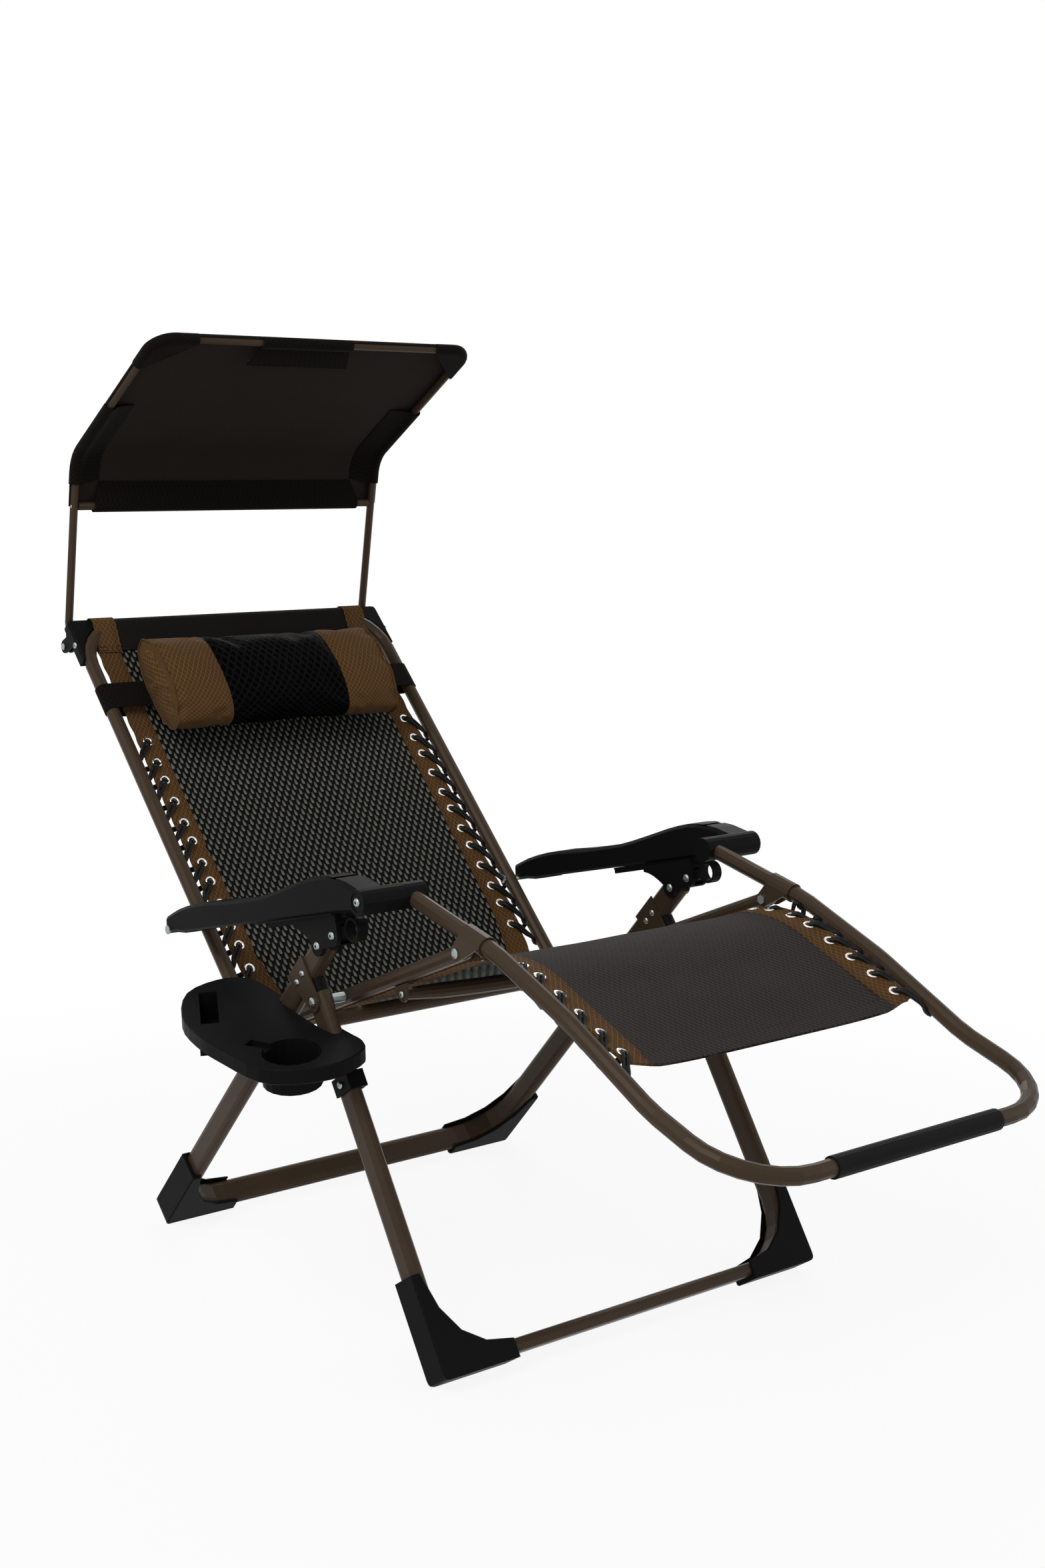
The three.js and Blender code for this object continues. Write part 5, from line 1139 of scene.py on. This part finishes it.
def stitches(name, points, normal):
    """A row of short raised stitches along a line on cloth."""
    strands, total, pitch = [], 0.0, STITCH + STITCH_GAP
    for a, b in zip(points, points[1:]):
        run = (b - a).length / MM
        position = -total % pitch
        while position + STITCH < run:
            start = a.lerp(b, position / run) + normal * STITCH_LIFT * MM
            end = a.lerp(b, (position + STITCH) / run) + normal * STITCH_LIFT * MM
            strands.append((start, (start + end) / 2 + normal * STITCH_CROWN * MM, end))
            position += pitch
        total += run
    row = curve_object(name, strands, STITCH_RADIUS, looks["elastic_cord"])
    row.data.bevel_resolution = row.data.resolution_u = 1
    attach(row, "backrest")


def make_top_loops():
    edges = (-PANEL_HALF, PANEL_HALF)
    panel = bar_loop("top_panel", edges, PANEL_COLUMNS, PANEL_RADIUS, PANEL_LOW, looks["panel"])
    for side, word in SIDES:
        edges, look = [side * x for x in TOP_STRAP], looks["brown_strap"]
        strap = bar_loop(f"top_band_{word}", edges, BAND_COLUMNS, TOP_STRAP_RADIUS, TOP_STRAP_LOW, look)
    half = TOP_STRAP[1] - STITCH_MARGIN
    for word, offset in STITCH_ROWS:
        rise = BACK_OFFSET + STITCH_RISE + offset * STITCH_SLOPE
        xs = [-half + 2 * half * k / STITCH_STEPS for k in range(STITCH_STEPS + 1)]
        spots = [back_place(x, TOP_STRAP_LOW + offset, rise) for x in xs]
        stitches(f"top_stitch_{word}", spots, side_vector(back.above))


# Turned pieces and the lacing

def turned_object(name, look, spots, profile, closed):
    """One piece turned from (radius, height) points at each (place, axes), as rings or as solids."""
    edit = bmesh.new()
    for centre, axes in spots:
        rings = [turned_ring(edit, centre, axes, radius, height) for radius, height in profile]
        for first, second in zip(rings, rings[1:] + rings[:closed]):
            for i in range(TURN_STEPS):
                j = (i + 1) % TURN_STEPS
                edit.faces.new((first[i], first[j], second[j], second[i]))
        if not closed:
            edit.faces.new(rings[0])
            edit.faces.new(rings[-1][::-1])
    bmesh.ops.recalc_face_normals(edit, faces=edit.faces)
    mesh = bpy.data.meshes.new(name)
    edit.to_mesh(mesh)
    edit.free()
    mesh.shade_smooth()
    if not closed:
        sharpen(mesh, SHARP_HEAD)
    piece = new_object(name, mesh, look)
    return piece


def turned_ring(edit, centre, axes, radius, height):
    ring = []
    for k in range(TURN_STEPS):
        angle = 2 * math.pi * k / TURN_STEPS
        offset = Vector((radius * math.cos(angle), radius * math.sin(angle), height)) * MM
        ring.append(edit.verts.new(centre + axes @ offset))
    return ring


def eyelet_profile():
    """Rolled brass eyelet: a rounded ring on both faces with its barrel between."""
    middle, half = (GROMMET_OUTER + GROMMET_HOLE) / 2, (GROMMET_OUTER - GROMMET_HOLE) / 2
    turns = [math.pi * k / ROLL_STEPS for k in range(ROLL_STEPS + 1)]
    over = BAND_HALF + GROMMET_OVER_BAND
    roll = [(middle + half * math.cos(turn), over + GROMMET_ROLL * math.sin(turn)) for turn in turns]
    under = [(GROMMET_HOLE, 0), (GROMMET_HOLE + GROMMET_LIP, GROMMET_UNDER)]
    under += [(GROMMET_OUTER * out, GROMMET_UNDER * down) for out, down in GROMMET_FOOT]
    return roll + [(radius, -BAND_HALF - depth) for radius, depth in under]


def make_eyelets(name, places):
    spots = [(centre, normal.to_track_quat("Z", "Y").to_matrix()) for centre, normal in places]
    return turned_object(name, looks["nickel"], spots, eyelet_profile(), True)


def lace(name, stops, body, replaced):
    """Doubled cord through the eyelets and round the tube, as two strands side by side."""
    strands = []
    for shift in (-STRAND_HALF_GAP, STRAND_HALF_GAP):
        points = []
        for i, stop in enumerate(stops):
            before, after = (stops[i - 1], stop) if i == len(stops) - 1 else (stop, stops[i + 1])
            points += lace_turn(stop, after["tube"] - before["tube"], shift)
        strands.append(points)
    cords = curve_object(name, strands, CORD_RADIUS, looks["elastic_cord"])
    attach(cords, body)
    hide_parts(replaced)


def lace_turn(stop, step, shift):
    """Up through an eyelet, out over the edge, behind the tube and back under."""
    eye, normal, tube = stop["eye"], stop["normal"], stop["tube"]
    along = step.normalized()
    up = (normal - along * normal.dot(along)).normalized()
    out = Vector((math.copysign(1, tube.x - ORIGIN.x), 0, 0))
    edge = out * ((stop["edge"] + CORD_PAST_EDGE) * MM) + step * CORD_EDGE_SHARE
    beside = edge.cross(normal).normalized() * shift * MM
    hole = eye + edge.normalized() * CORD_OUT_OF_HOLE * MM
    points = [hole + normal * lift * MM + beside for lift in (-CORD_DIP, CORD_RISE)]
    points.append(eye + edge + normal * (CORD_RADIUS + BAND_HALF + CORD_OVER_BAND) * MM + beside)
    reach = (FRAME_TUBE + CORD_RADIUS + CORD_OFF_TUBE) * MM
    for turn, share in CORD_HOOKS:
        angle = math.radians(turn)
        round_tube = (up * math.sin(angle) + out * math.cos(angle)) * reach
        points.append(tube + step * share + round_tube + along * beside.dot(along))
    return points


def stop_at(run, side, tube_point, tube_half, eye_x):
    eye, normal = sling_place(run, side * eye_x)
    tube = place(side * tube_half, tube_point.x, tube_point.y)
    return {"eye": eye, "normal": normal, "tube": tube, "edge": span(run)[0] - eye_x}


def make_lacing():
    for side, word in SIDES:
        back_stops = []
        for i in range(BACK_GROMMETS):
            along = BACK_GROMMET_TOP - i * GROMMET_PITCH
            run = nearest_run(back.at(along, BACK_OFFSET))
            back_stops.append(stop_at(run, side, back.at(along), BACK_HALF, BACK_GROMMET_X))
        leg_stops = []
        for i in range(-1, LEG_GROMMETS):
            tube = leg_tube(LEG_GROMMET_REAR + i * LEG_GROMMET_PITCH)
            leg_stops.append(stop_at(nearest_run(tube), side, tube, RAIL_HALF, LEG_GROMMET_X))
        lace(f"lace_back_{word}", back_stops, "backrest", f"back_lacing_{word}")
        lace(f"lace_leg_{word}", leg_stops, "leg_rest", f"leg_rest_lacing_{word}")
        for region, stops, body in (("back", back_stops, "backrest"), ("leg", leg_stops, "leg_rest")):
            eyelets = make_eyelets(f"eyelets_{region}_{word}", [(s["eye"], s["normal"]) for s in stops])
            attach(eyelets, body)
        knee_eye = sling_place(KNEE_RUN + KNEE_GROMMET_PAST, side * LEG_GROMMET_X)
        by_knee = make_eyelets(f"eyelet_knee_{word}", [knee_eye])
        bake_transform(by_knee)


# Plated heads of the rivets and bolts that are fused with their parts

def head_tops(node, side):
    """Tops of the domed heads: where the node reaches furthest from the middle."""
    points = [vertex.co for vertex in frame["nodes"][node].data.vertices]
    far = max(side * point.x for point in points)
    groups = []
    for point in points:
        if far - side * point.x > HEAD_TOP * MM:
            continue
        near = [group for group in groups if (group[0] - point).length < HEAD_APART * MM]
        if near:
            near[0].append(point)
        else:
            groups.append([point])
    return [sum(group, Vector()) / len(group) for group in groups]


def head_piece(name, body, places, side, radius):
    """Domed heads with a socket, facing away from the middle or, with side turned, towards it."""
    axes = Matrix(((0, 0, side), (1, 0, 0), (0, 1, 0)))
    profile = [(radius * share, lift) for share, lift in HEAD_PROFILE]
    heads = turned_object(name, looks["zinc"], [(spot, axes) for spot in places], profile, False)
    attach(heads, body)


def make_heads():
    for side, word in SIDES:
        for stem, body, radius, across in HEADS:
            node = f"{stem}_{word}"
            tops = head_tops(node, side)
            rides = body if body in frame["bodies"] else f"{body}_{word}"
            head_piece(f"heads_{node}", rides, tops, side, radius)
            if across:
                ends = [inner_face(f"{across}_{word}", top, side, ORIGIN.x) for top in tops]
                head_piece(f"nuts_{node}", rides, ends, -side, radius)
        post = middle_of("canopy_cross_bar")
        post.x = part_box("canopy_frame")[side > 0].x
        head_piece(f"head_canopy_post_{word}", "canopy", [post], side, POST_HEAD)
    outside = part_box("tray_front_hook")[0].x - RAY_START * MM
    hook = inner_face("tray_front_hook", middle_of("tray_front_hook"), 1, outside)
    head_piece("head_tray_hook", "rear_frame", [hook], -1, HOOK_HEAD)


def inner_face(node, top, side, start_x):
    """Where a line along x meets the node, with room for the head's foot."""
    start = Vector((start_x, top.y, top.z))
    hit, spot, _, _ = frame["nodes"][node].ray_cast(start, Vector((side, 0, 0)))
    return spot - Vector((side * HEAD_PROUD * MM, 0, 0)) if hit else top


# Pillow and its strap

def pillow_surface(share, angle):
    """Bolster drawn in at its flat oval ends, in the back's axes."""
    drawn = max(0.0, 1 - abs(share) ** PILLOW_END_POWER) ** 0.5
    height = PILLOW_HALF_HEIGHT * (PILLOW_END_HEIGHT + (1 - PILLOW_END_HEIGHT) * drawn)
    depth = PILLOW_HALF_DEPTH * (PILLOW_END_DEPTH + (1 - PILLOW_END_DEPTH) * drawn)
    c, s = math.cos(angle), math.sin(angle)
    power = 2 / PILLOW_ROUNDNESS
    along = math.copysign(abs(c) ** power, c) * height
    above = math.copysign(abs(s) ** power, s) * depth
    return share * PILLOW_HALF_LENGTH, PILLOW_ALONG + along, PILLOW_BASE + PILLOW_HALF_DEPTH + above


def wrinkle(x, along, share, angle):
    """Folds that fan out from the seams of the ends, and soft unevenness."""
    near = max(0.0, abs(share) - END_FROM) / END_WIDTH
    shift = PUCKER_SHIFT * noise.noise(Vector((angle * 2, share, 0.7)))
    puckers = math.sin(angle * PUCKERS + shift) * near ** 2
    turn = (angle - math.radians(PINCH_ANGLE)) / PINCH_WIDTH
    pinch = math.exp(-turn * turn) * near ** PINCH_POWER
    fine = unevenness(x, along, FINE_UNEVEN_REACH, 4.1)
    soft = unevenness(x, along, UNEVEN_REACH, 1.7) + FINE_UNEVEN * fine
    return PUCKER * puckers - PINCH * pinch + UNEVEN * soft


def skin_spot(share, angle):
    """A point of the filled skin: distance across, along the back and above it."""
    x, along, above = pillow_surface(share, angle)
    seam = SEAM_DEPTH * math.exp(-((abs(x) - PILLOW_MESH_HALF) / SEAM_WIDTH) ** 2)
    swell = wrinkle(x, along, share, angle) - seam
    front = max(0.0, above - PILLOW_BASE) / (2 * PILLOW_HALF_DEPTH)
    behind, more = SWELL_ABOVE
    along += math.cos(angle) * swell * SWELL_ALONG
    above += math.sin(angle) * swell * (behind + more * front)
    return Vector((x + PILLOW_CENTRE, along, max(above, PILLOW_BASE - PILLOW_SINK)))


def end_spot(edge, side, share):
    """A point of an end panel, from the rim towards the panel's middle."""
    middle = Vector((edge.x, PILLOW_ALONG, PILLOW_BASE + PILLOW_HALF_DEPTH))
    spot = edge.lerp(middle, share)
    crease = unevenness(spot.y, spot.z, PILLOW_END_REACH, side * 3.1)
    swell = PILLOW_END_SWELL * math.sin(math.pi / 2 * share)
    spot.x += side * (swell + PILLOW_END_CREASE * crease * share)
    return spot


def pillow_skin():
    """Points, uv and faces of the long skin and the two end panels."""
    spots, uvs, faces = [], [], []
    for i in range(PILLOW_RINGS + 1):
        share = math.sin(math.pi / 2 * (2 * i / PILLOW_RINGS - 1))
        for k in range(PILLOW_SIDES):
            angle = 2 * math.pi * k / PILLOW_SIDES
            spots.append(skin_spot(share, angle))
            uvs.append((spots[-1].x * MM, PILLOW_GIRTH * k / PILLOW_SIDES))
    for i in range(PILLOW_RINGS):
        faces += ring_faces([i * PILLOW_SIDES + k for k in range(PILLOW_SIDES)], PILLOW_SIDES)
    for side, first in ((-1, 0), (1, PILLOW_RINGS * PILLOW_SIDES)):
        rim = list(range(first, first + PILLOW_SIDES))
        for c in range(1, PILLOW_CAPS):
            ring = [end_spot(spots[index], side, c / PILLOW_CAPS) for index in rim]
            start = len(spots)
            before = rim if c == 1 else list(range(start - PILLOW_SIDES, start))
            spots += ring
            uvs += [(spot.z * MM, spot.y * MM) for spot in ring]
            faces += ring_faces(before, start - before[0])
        last = list(range(len(spots) - PILLOW_SIDES, len(spots)))
        spots.append(end_spot(spots[rim[0]], side, 1))
        uvs.append((spots[-1].z * MM, spots[-1].y * MM))
        faces += [(a, b, len(spots) - 1) for a, b in zip(last, last[1:] + last[:1])]
    return spots, uvs, faces


def ring_faces(ring, step):
    """Faces from a ring of points to the one that lies step further in the list."""
    following = ring[1:] + ring[:1]
    return [(a, b, b + step, a + step) for a, b in zip(ring, following)]


def inflate(obj, reach):
    """Cloth swollen by air pressure, with no point moved further than its reach."""
    start = [vertex.co.copy() for vertex in obj.data.vertices]
    cloth = obj.modifiers.new("cloth", "CLOTH")
    cloth.settings.quality = 6
    cloth.settings.use_pressure = True
    cloth.settings.uniform_pressure_force = PILLOW_PRESSURE
    cloth.settings.vertex_group_mass = "held"
    cloth.settings.shrink_min = -PILLOW_SLACK
    cloth.settings.effector_weights.gravity = 0
    cloth.point_cache.frame_end = SIM_FRAMES
    for step in range(1, SIM_FRAMES + 1):
        bpy.context.scene.frame_set(step)
    swollen = obj.evaluated_get(bpy.context.evaluated_depsgraph_get()).data
    moves = [vertex.co - before for vertex, before in zip(swollen.vertices, start)]
    obj.modifiers.remove(cloth)
    for vertex, before, move in zip(obj.data.vertices, start, moves):
        vertex.co = before + move * min(1.0, reach * MM / max(move.length, reach * MM))
    bpy.context.scene.frame_set(1)


def dress_pillow(mesh, uvs):
    """Cloth of each zone, and uv that goes on past the last column."""
    mesh.shade_smooth()
    layer = mesh.uv_layers.new(name="UVMap")
    for polygon in mesh.polygons:
        offset = abs((polygon.center.x - ORIGIN.x) / MM - PILLOW_CENTRE)
        polygon.material_index = 1 if offset < PILLOW_MESH_HALF else 0
        corners = [uvs[mesh.loops[loop].vertex_index] for loop in polygon.loop_indices]
        heights = [v for _, v in corners]
        wraps = max(heights) - min(heights) > PILLOW_GIRTH / 2
        for loop, (u, v) in zip(polygon.loop_indices, corners):
            lift = PILLOW_GIRTH if wraps and v < PILLOW_GIRTH / 2 else 0.0
            layer.data[loop].uv = (u, v + lift)


def make_pillow():
    spots, uvs, faces = pillow_skin()
    mesh = bpy.data.meshes.new("pillow_cloth")
    mesh.from_pydata([back_place(*spot) for spot in spots], [], faces)
    dress_pillow(mesh, uvs)
    fix_faces(mesh)
    pillow = new_object("pillow_cloth", mesh, looks["brown"], looks["pillow_mesh"])
    pillow.vertex_groups.new(name="held").add(held_points(spots), 1.0, "REPLACE")
    inflate(pillow, PILLOW_REACH)
    finer = pillow.modifiers.new("finer", "SUBSURF")
    finer.levels = finer.render_levels = 1
    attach(pillow, "backrest")
    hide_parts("pillow")
    for first, side, word in ((0, -1, "right"), (PILLOW_RINGS * PILLOW_SIDES, 1, "left")):
        rim = [mesh.vertices[first + k].co for k in range(PILLOW_SIDES)]
        make_piping(f"pillow_seam_{word}", rim, side)


def held_points(spots):
    """Points that the air doesn't move: the ends' rims, the rest on the sling and the seams."""
    held = {first + k for first in (0, PILLOW_RINGS * PILLOW_SIDES) for k in range(PILLOW_SIDES)}
    for i, spot in enumerate(spots):
        from_seam = abs(abs(spot.x - PILLOW_CENTRE) - PILLOW_MESH_HALF)
        if spot.z < PILLOW_BASE + PILLOW_TOUCH or from_seam < SEAM_WIDTH:
            held.add(i)
    return sorted(held)


def make_piping(name, rim, side):
    """Turned seam round an end panel of the pillow."""
    middle = sum(rim, Vector()) / len(rim)
    points = [spot + (spot - middle).normalized() * PIPING_RADIUS * MM for spot in rim]
    points = [spot + Vector((side * PIPING_RADIUS * MM / 2, 0, 0)) for spot in points]
    seam = curve_object(name, [points], PIPING_RADIUS, looks["brown"])
    seam.data.splines[0].use_cyclic_u = True
    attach(seam, "backrest")


def strap_outline():
    """Closed loop of the strap across both tubes, from the left front round to the start."""
    radius = FRAME_TUBE + STRAP_OFF_TUBE + STRAP_MIDDLE
    points = []
    for angle in angles(STRAP_TURN):
        points.append(Vector((BACK_HALF + radius * math.cos(angle), radius * math.sin(angle))))
    points.append(Vector((STRAP_DIP_HALF + STRAP_KNEE[0], STRAP_KNEE[1])))
    points.append(Vector((STRAP_DIP_HALF, -STRAP_DIP - STRAP_MIDDLE)))
    points += [Vector((-point.x, point.y)) for point in reversed(points)]
    for x in STRAP_FRONTS:
        swell = STRAP_SWELL * math.sin(math.pi * (x + BACK_HALF) / (2 * BACK_HALF))
        points.append(Vector((x, radius + swell)))
    return points


def make_strap():
    outline = strap_outline()
    ring = [outline[-1], *outline, *outline[:2]]
    alongs = [STRAP_ALONG + STRAP_WIDTH * (k / STRAP_COLUMNS - 0.5) for k in range(STRAP_COLUMNS + 1)]
    grid, run = [], 0.0
    for before, point, after in zip(ring, ring[1:], ring[2:]):
        tangent = (after - before).normalized()
        rise = back.above * tangent.x
        normal = Vector((-tangent.y, rise.x, rise.y))
        run += (point - before).length if grid else 0.0
        row = [(back_place(point.x, along, point.y), normal, (run * MM, along * MM)) for along in alongs]
        grid.append(row)
    strap = sheet_object("strap_web", grid, STRAP_HALF, looks["black_ripstop"])
    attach(strap, "backrest")
    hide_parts("pillow_strap")


# Canopy cloth

def canopy_path():
    bar = Vector(SHOULDER) * (CANOPY_BAR_RISE / SHOULDER[1])
    corners = [canopy.at(bar.x, bar.y), canopy.at(*SHOULDER), canopy.at(*CANOPY_FRONT)]
    return rounded_line(corners, [SHOULDER_BEND], CANOPY_STEP)


canopy_line = canopy_path()
canopy_length = canopy_line[-1][2]
side_length = canopy_length - CORNER_BEND


def canopy_station(run):
    """Point, tangent and upward direction on the canopy's side, in the side view."""
    point, tangent = along_line(canopy_line, min(run, canopy_length))
    return point, tangent, Vector((tangent.y, -tangent.x))


def canopy_place(x, run, lift):
    point, tangent, up = canopy_station(run)
    spot = point + tangent * max(0.0, run - canopy_length) + up * lift
    return place(x, spot.x, spot.y)


def canopy_normal(run):
    return side_vector(canopy_station(run)[2])


def rim_stations():
    """Places along the side tube, corner and front bar: (x, run, outward x, outward run)."""
    count = int(side_length / RIM_STEP)
    stops = [(-CANOPY_HALF, side_length * i / count, -1.0, 0.0) for i in range(count + 1)]
    for k in range(1, CORNER_STEPS + 1):
        angle = math.pi / 2 * k / CORNER_STEPS
        x = -CANOPY_HALF + CORNER_BEND - CORNER_BEND * math.cos(angle)
        stops.append((x, side_length + CORNER_BEND * math.sin(angle), -math.cos(angle), math.sin(angle)))
    half = CANOPY_HALF - CORNER_BEND
    across = int(2 * half / RIM_STEP)
    front = [(-half + 2 * half * i / across, canopy_length, 0.0, 1.0) for i in range(1, across)]
    return stops + front + mirrored(stops)


def mirrored(stops):
    return [(-x, run, -out_x, out_run) for x, run, out_x, out_run in reversed(stops)]


def rim_point(stop, angle, radius):
    """Point round the tube: angle 0 above it, a quarter turn outward, a half turn below."""
    x, run, out_x, out_run = stop
    outward = radius * math.sin(angle)
    return canopy_place(x + out_x * outward, run + out_run * outward, radius * math.cos(angle))


def rim_normal(stop, angle):
    _, run, out_x, out_run = stop
    _, tangent, up = canopy_station(run)
    outward = Vector((out_x, 0, 0)) + side_vector(tangent) * out_run
    return (side_vector(up) * math.cos(angle) + outward * math.sin(angle)).normalized()


def rim_rows(stops, turn, radius):
    """Rows of (place, normal) round the tube."""
    rows = []
    for angle in angles(turn):
        rows.append([(rim_point(stop, angle, radius), rim_normal(stop, angle)) for stop in stops])
    return rows


def canopy_sag(x, run):
    """Slack of the sheet between its tubes."""
    across = 1 - (abs(x) / CANOPY_HALF) ** 2
    share = run / canopy_length
    soft = COVER_UNEVEN * unevenness(x, run, COVER_REACH, 2.2) * min(1.0, 4 * share, 4 * (1 - share))
    return across * (COVER_SLACK * math.sin(math.pi * share) + soft)


def make_canopy_sheet():
    runs = [side_length * i / CANOPY_ROWS for i in range(CANOPY_ROWS + 1)]
    for k in range(1, CORNER_STEPS + 1):
        runs.append(side_length + CORNER_BEND * math.sin(math.pi / 2 * k / CORNER_STEPS))
    grid = []
    for run in runs:
        beyond = max(0.0, run - side_length)
        half = CANOPY_HALF - CORNER_BEND + math.sqrt(max(0.0, CORNER_BEND ** 2 - beyond ** 2))
        row = []
        for k in range(CANOPY_COLUMNS + 1):
            x = half * (2 * k / CANOPY_COLUMNS - 1)
            spot = canopy_place(x, run, COVER_RADIUS - canopy_sag(x, run))
            row.append((spot, canopy_normal(run), (x * MM, run * MM)))
        grid.append(row)
    cover = sheet_object("canopy_sheet", grid, TRIM_HALF, looks["canopy_cloth"])
    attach(cover, "canopy")
    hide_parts("canopy_cover")


def canopy_trim(name, rows, pitch):
    """Black trim over rows of (place, normal), with the pitch of its cloth across and along."""
    across, along = pitch
    grid = []
    for j, row in enumerate(rows):
        grid.append([(*cell, (i * across * MM, j * along * MM)) for i, cell in enumerate(row)])
    made = sheet_object(name, grid, TRIM_HALF, looks["black_ripstop"])
    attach(made, "canopy")


def make_rim():
    """Rolled edge of the cover round the outside of the tube."""
    canopy_trim("canopy_rim", rim_rows(rim_stations(), RIM_TURN, COVER_RADIUS), RIM_PITCH)


def flap(name, stops, reach, slant, droop=0.0):
    """Flap round the tube and up to the sheet's under side, or short of it by its droop."""
    rows = rim_rows(stops, FLAP_TURN, FLAP_RADIUS)
    middle, low = (len(stops) - 1) / 2, FLAP_RADIUS * FLAP_LOW_SHARE
    for share in FLAP_SHARES:
        inward = FLAP_RADIUS * math.sin(math.radians(FLAP_INWARD)) + (reach - FLAP_RADIUS) * share
        row = []
        for i, (x, run, out_x, out_run) in enumerate(stops):
            lean = slant * share * (i - middle) / middle
            spot_x = x - out_x * inward - out_run * lean
            spot_run = run - out_run * inward + out_x * lean
            under_sheet = COVER_RADIUS - canopy_sag(spot_x, spot_run) - FLAP_CLEAR - droop
            lift = -low + (under_sheet + low) * share ** FLAP_CURL
            row.append((canopy_place(spot_x, spot_run, lift), -canopy_normal(run)))
        rows.append(row)
    canopy_trim(name, rows, FLAP_PITCH)


def between(ends, steps):
    first, last = ends
    return [first + (last - first) * i / steps for i in range(steps + 1)]


def make_flaps():
    front = [(x, canopy_length, 0.0, 1.0) for x in between(FRONT_FLAP, FRONT_FLAP_COLUMNS)]
    flap("canopy_flap_front", front, FRONT_FLAP_REACH, FRONT_FLAP_SLANT, FRONT_FLAP_DROOP)
    right = [(-CANOPY_HALF, run, -1.0, 0.0) for run in between(SIDE_FLAP, SIDE_FLAP_COLUMNS)]
    flap("canopy_flap_right", right, SIDE_FLAP_REACH, SIDE_FLAP_SLANT)
    flap("canopy_flap_left", mirrored(right), SIDE_FLAP_REACH, SIDE_FLAP_SLANT)
    near_corner = (POCKET - CANOPY_HALF, canopy_length - POCKET)
    corner = [stop for stop in rim_stations() if stop[0] < near_corner[0] and stop[1] > near_corner[1]]
    make_pocket("canopy_pocket_right", corner)
    make_pocket("canopy_pocket_left", mirrored(corner))
    make_rear_flap()


def make_pocket(name, corner):
    """Lower sheet of a front corner with a straight slanting edge."""
    rows = rim_rows(corner, POCKET_TURN, FLAP_RADIUS)
    below = [rim_point(stop, math.pi, FLAP_RADIUS) for stop in corner]
    for k in range(1, POCKET_ROWS + 1):
        row = []
        for i, (spot, stop) in enumerate(zip(below, corner)):
            target = below[0].lerp(below[-1], i / (len(corner) - 1))
            row.append((spot.lerp(target, k / POCKET_ROWS), -canopy_normal(stop[1])))
        rows.append(row)
    canopy_trim(name, rows, POCKET_PITCH)


def make_rear_flap():
    """Lower edge of the cover, taken round the cross bar from behind and up inside."""
    bar, tangent, normal = canopy_station(0.0)
    section = []
    for angle in angles(REAR_FLAP_TURN):
        facing = normal * math.cos(angle) - tangent * math.sin(angle)
        section.append((bar + facing * FLAP_RADIUS, facing, REAR_FLAP_HALF))
    drop = FLAP_RADIUS * REAR_FLAP_DROP_SHARE
    for share in REAR_FLAP_SHARES:
        rise = FLAP_RADIUS * math.sin(math.radians(REAR_FLAP_INWARD)) + REAR_FLAP_RISE * share
        lift = -drop + (COVER_RADIUS - FLAP_CLEAR + drop) * share
        half = REAR_FLAP_HALF - REAR_FLAP_TAPER * share
        section.append((bar + tangent * rise + normal * lift, -normal, half))
    rows = []
    for spot, facing, half in section:
        xs = [(2 * i / REAR_FLAP_COLUMNS - 1) * half for i in range(REAR_FLAP_COLUMNS + 1)]
        rows.append([(place(x, spot.x, spot.y), side_vector(facing)) for x in xs])
    canopy_trim("canopy_flap_rear", rows, REAR_FLAP_PITCH)


# Everything in order

make_camera()
make_world()
make_lights()
make_floor()
dress_cad()
make_sling()
make_top_loops()
make_lacing()
make_pillow()
make_strap()
make_canopy_sheet()
make_rim()
make_flaps()
make_heads()

bpy.context.scene.view_settings.view_transform = "Standard"
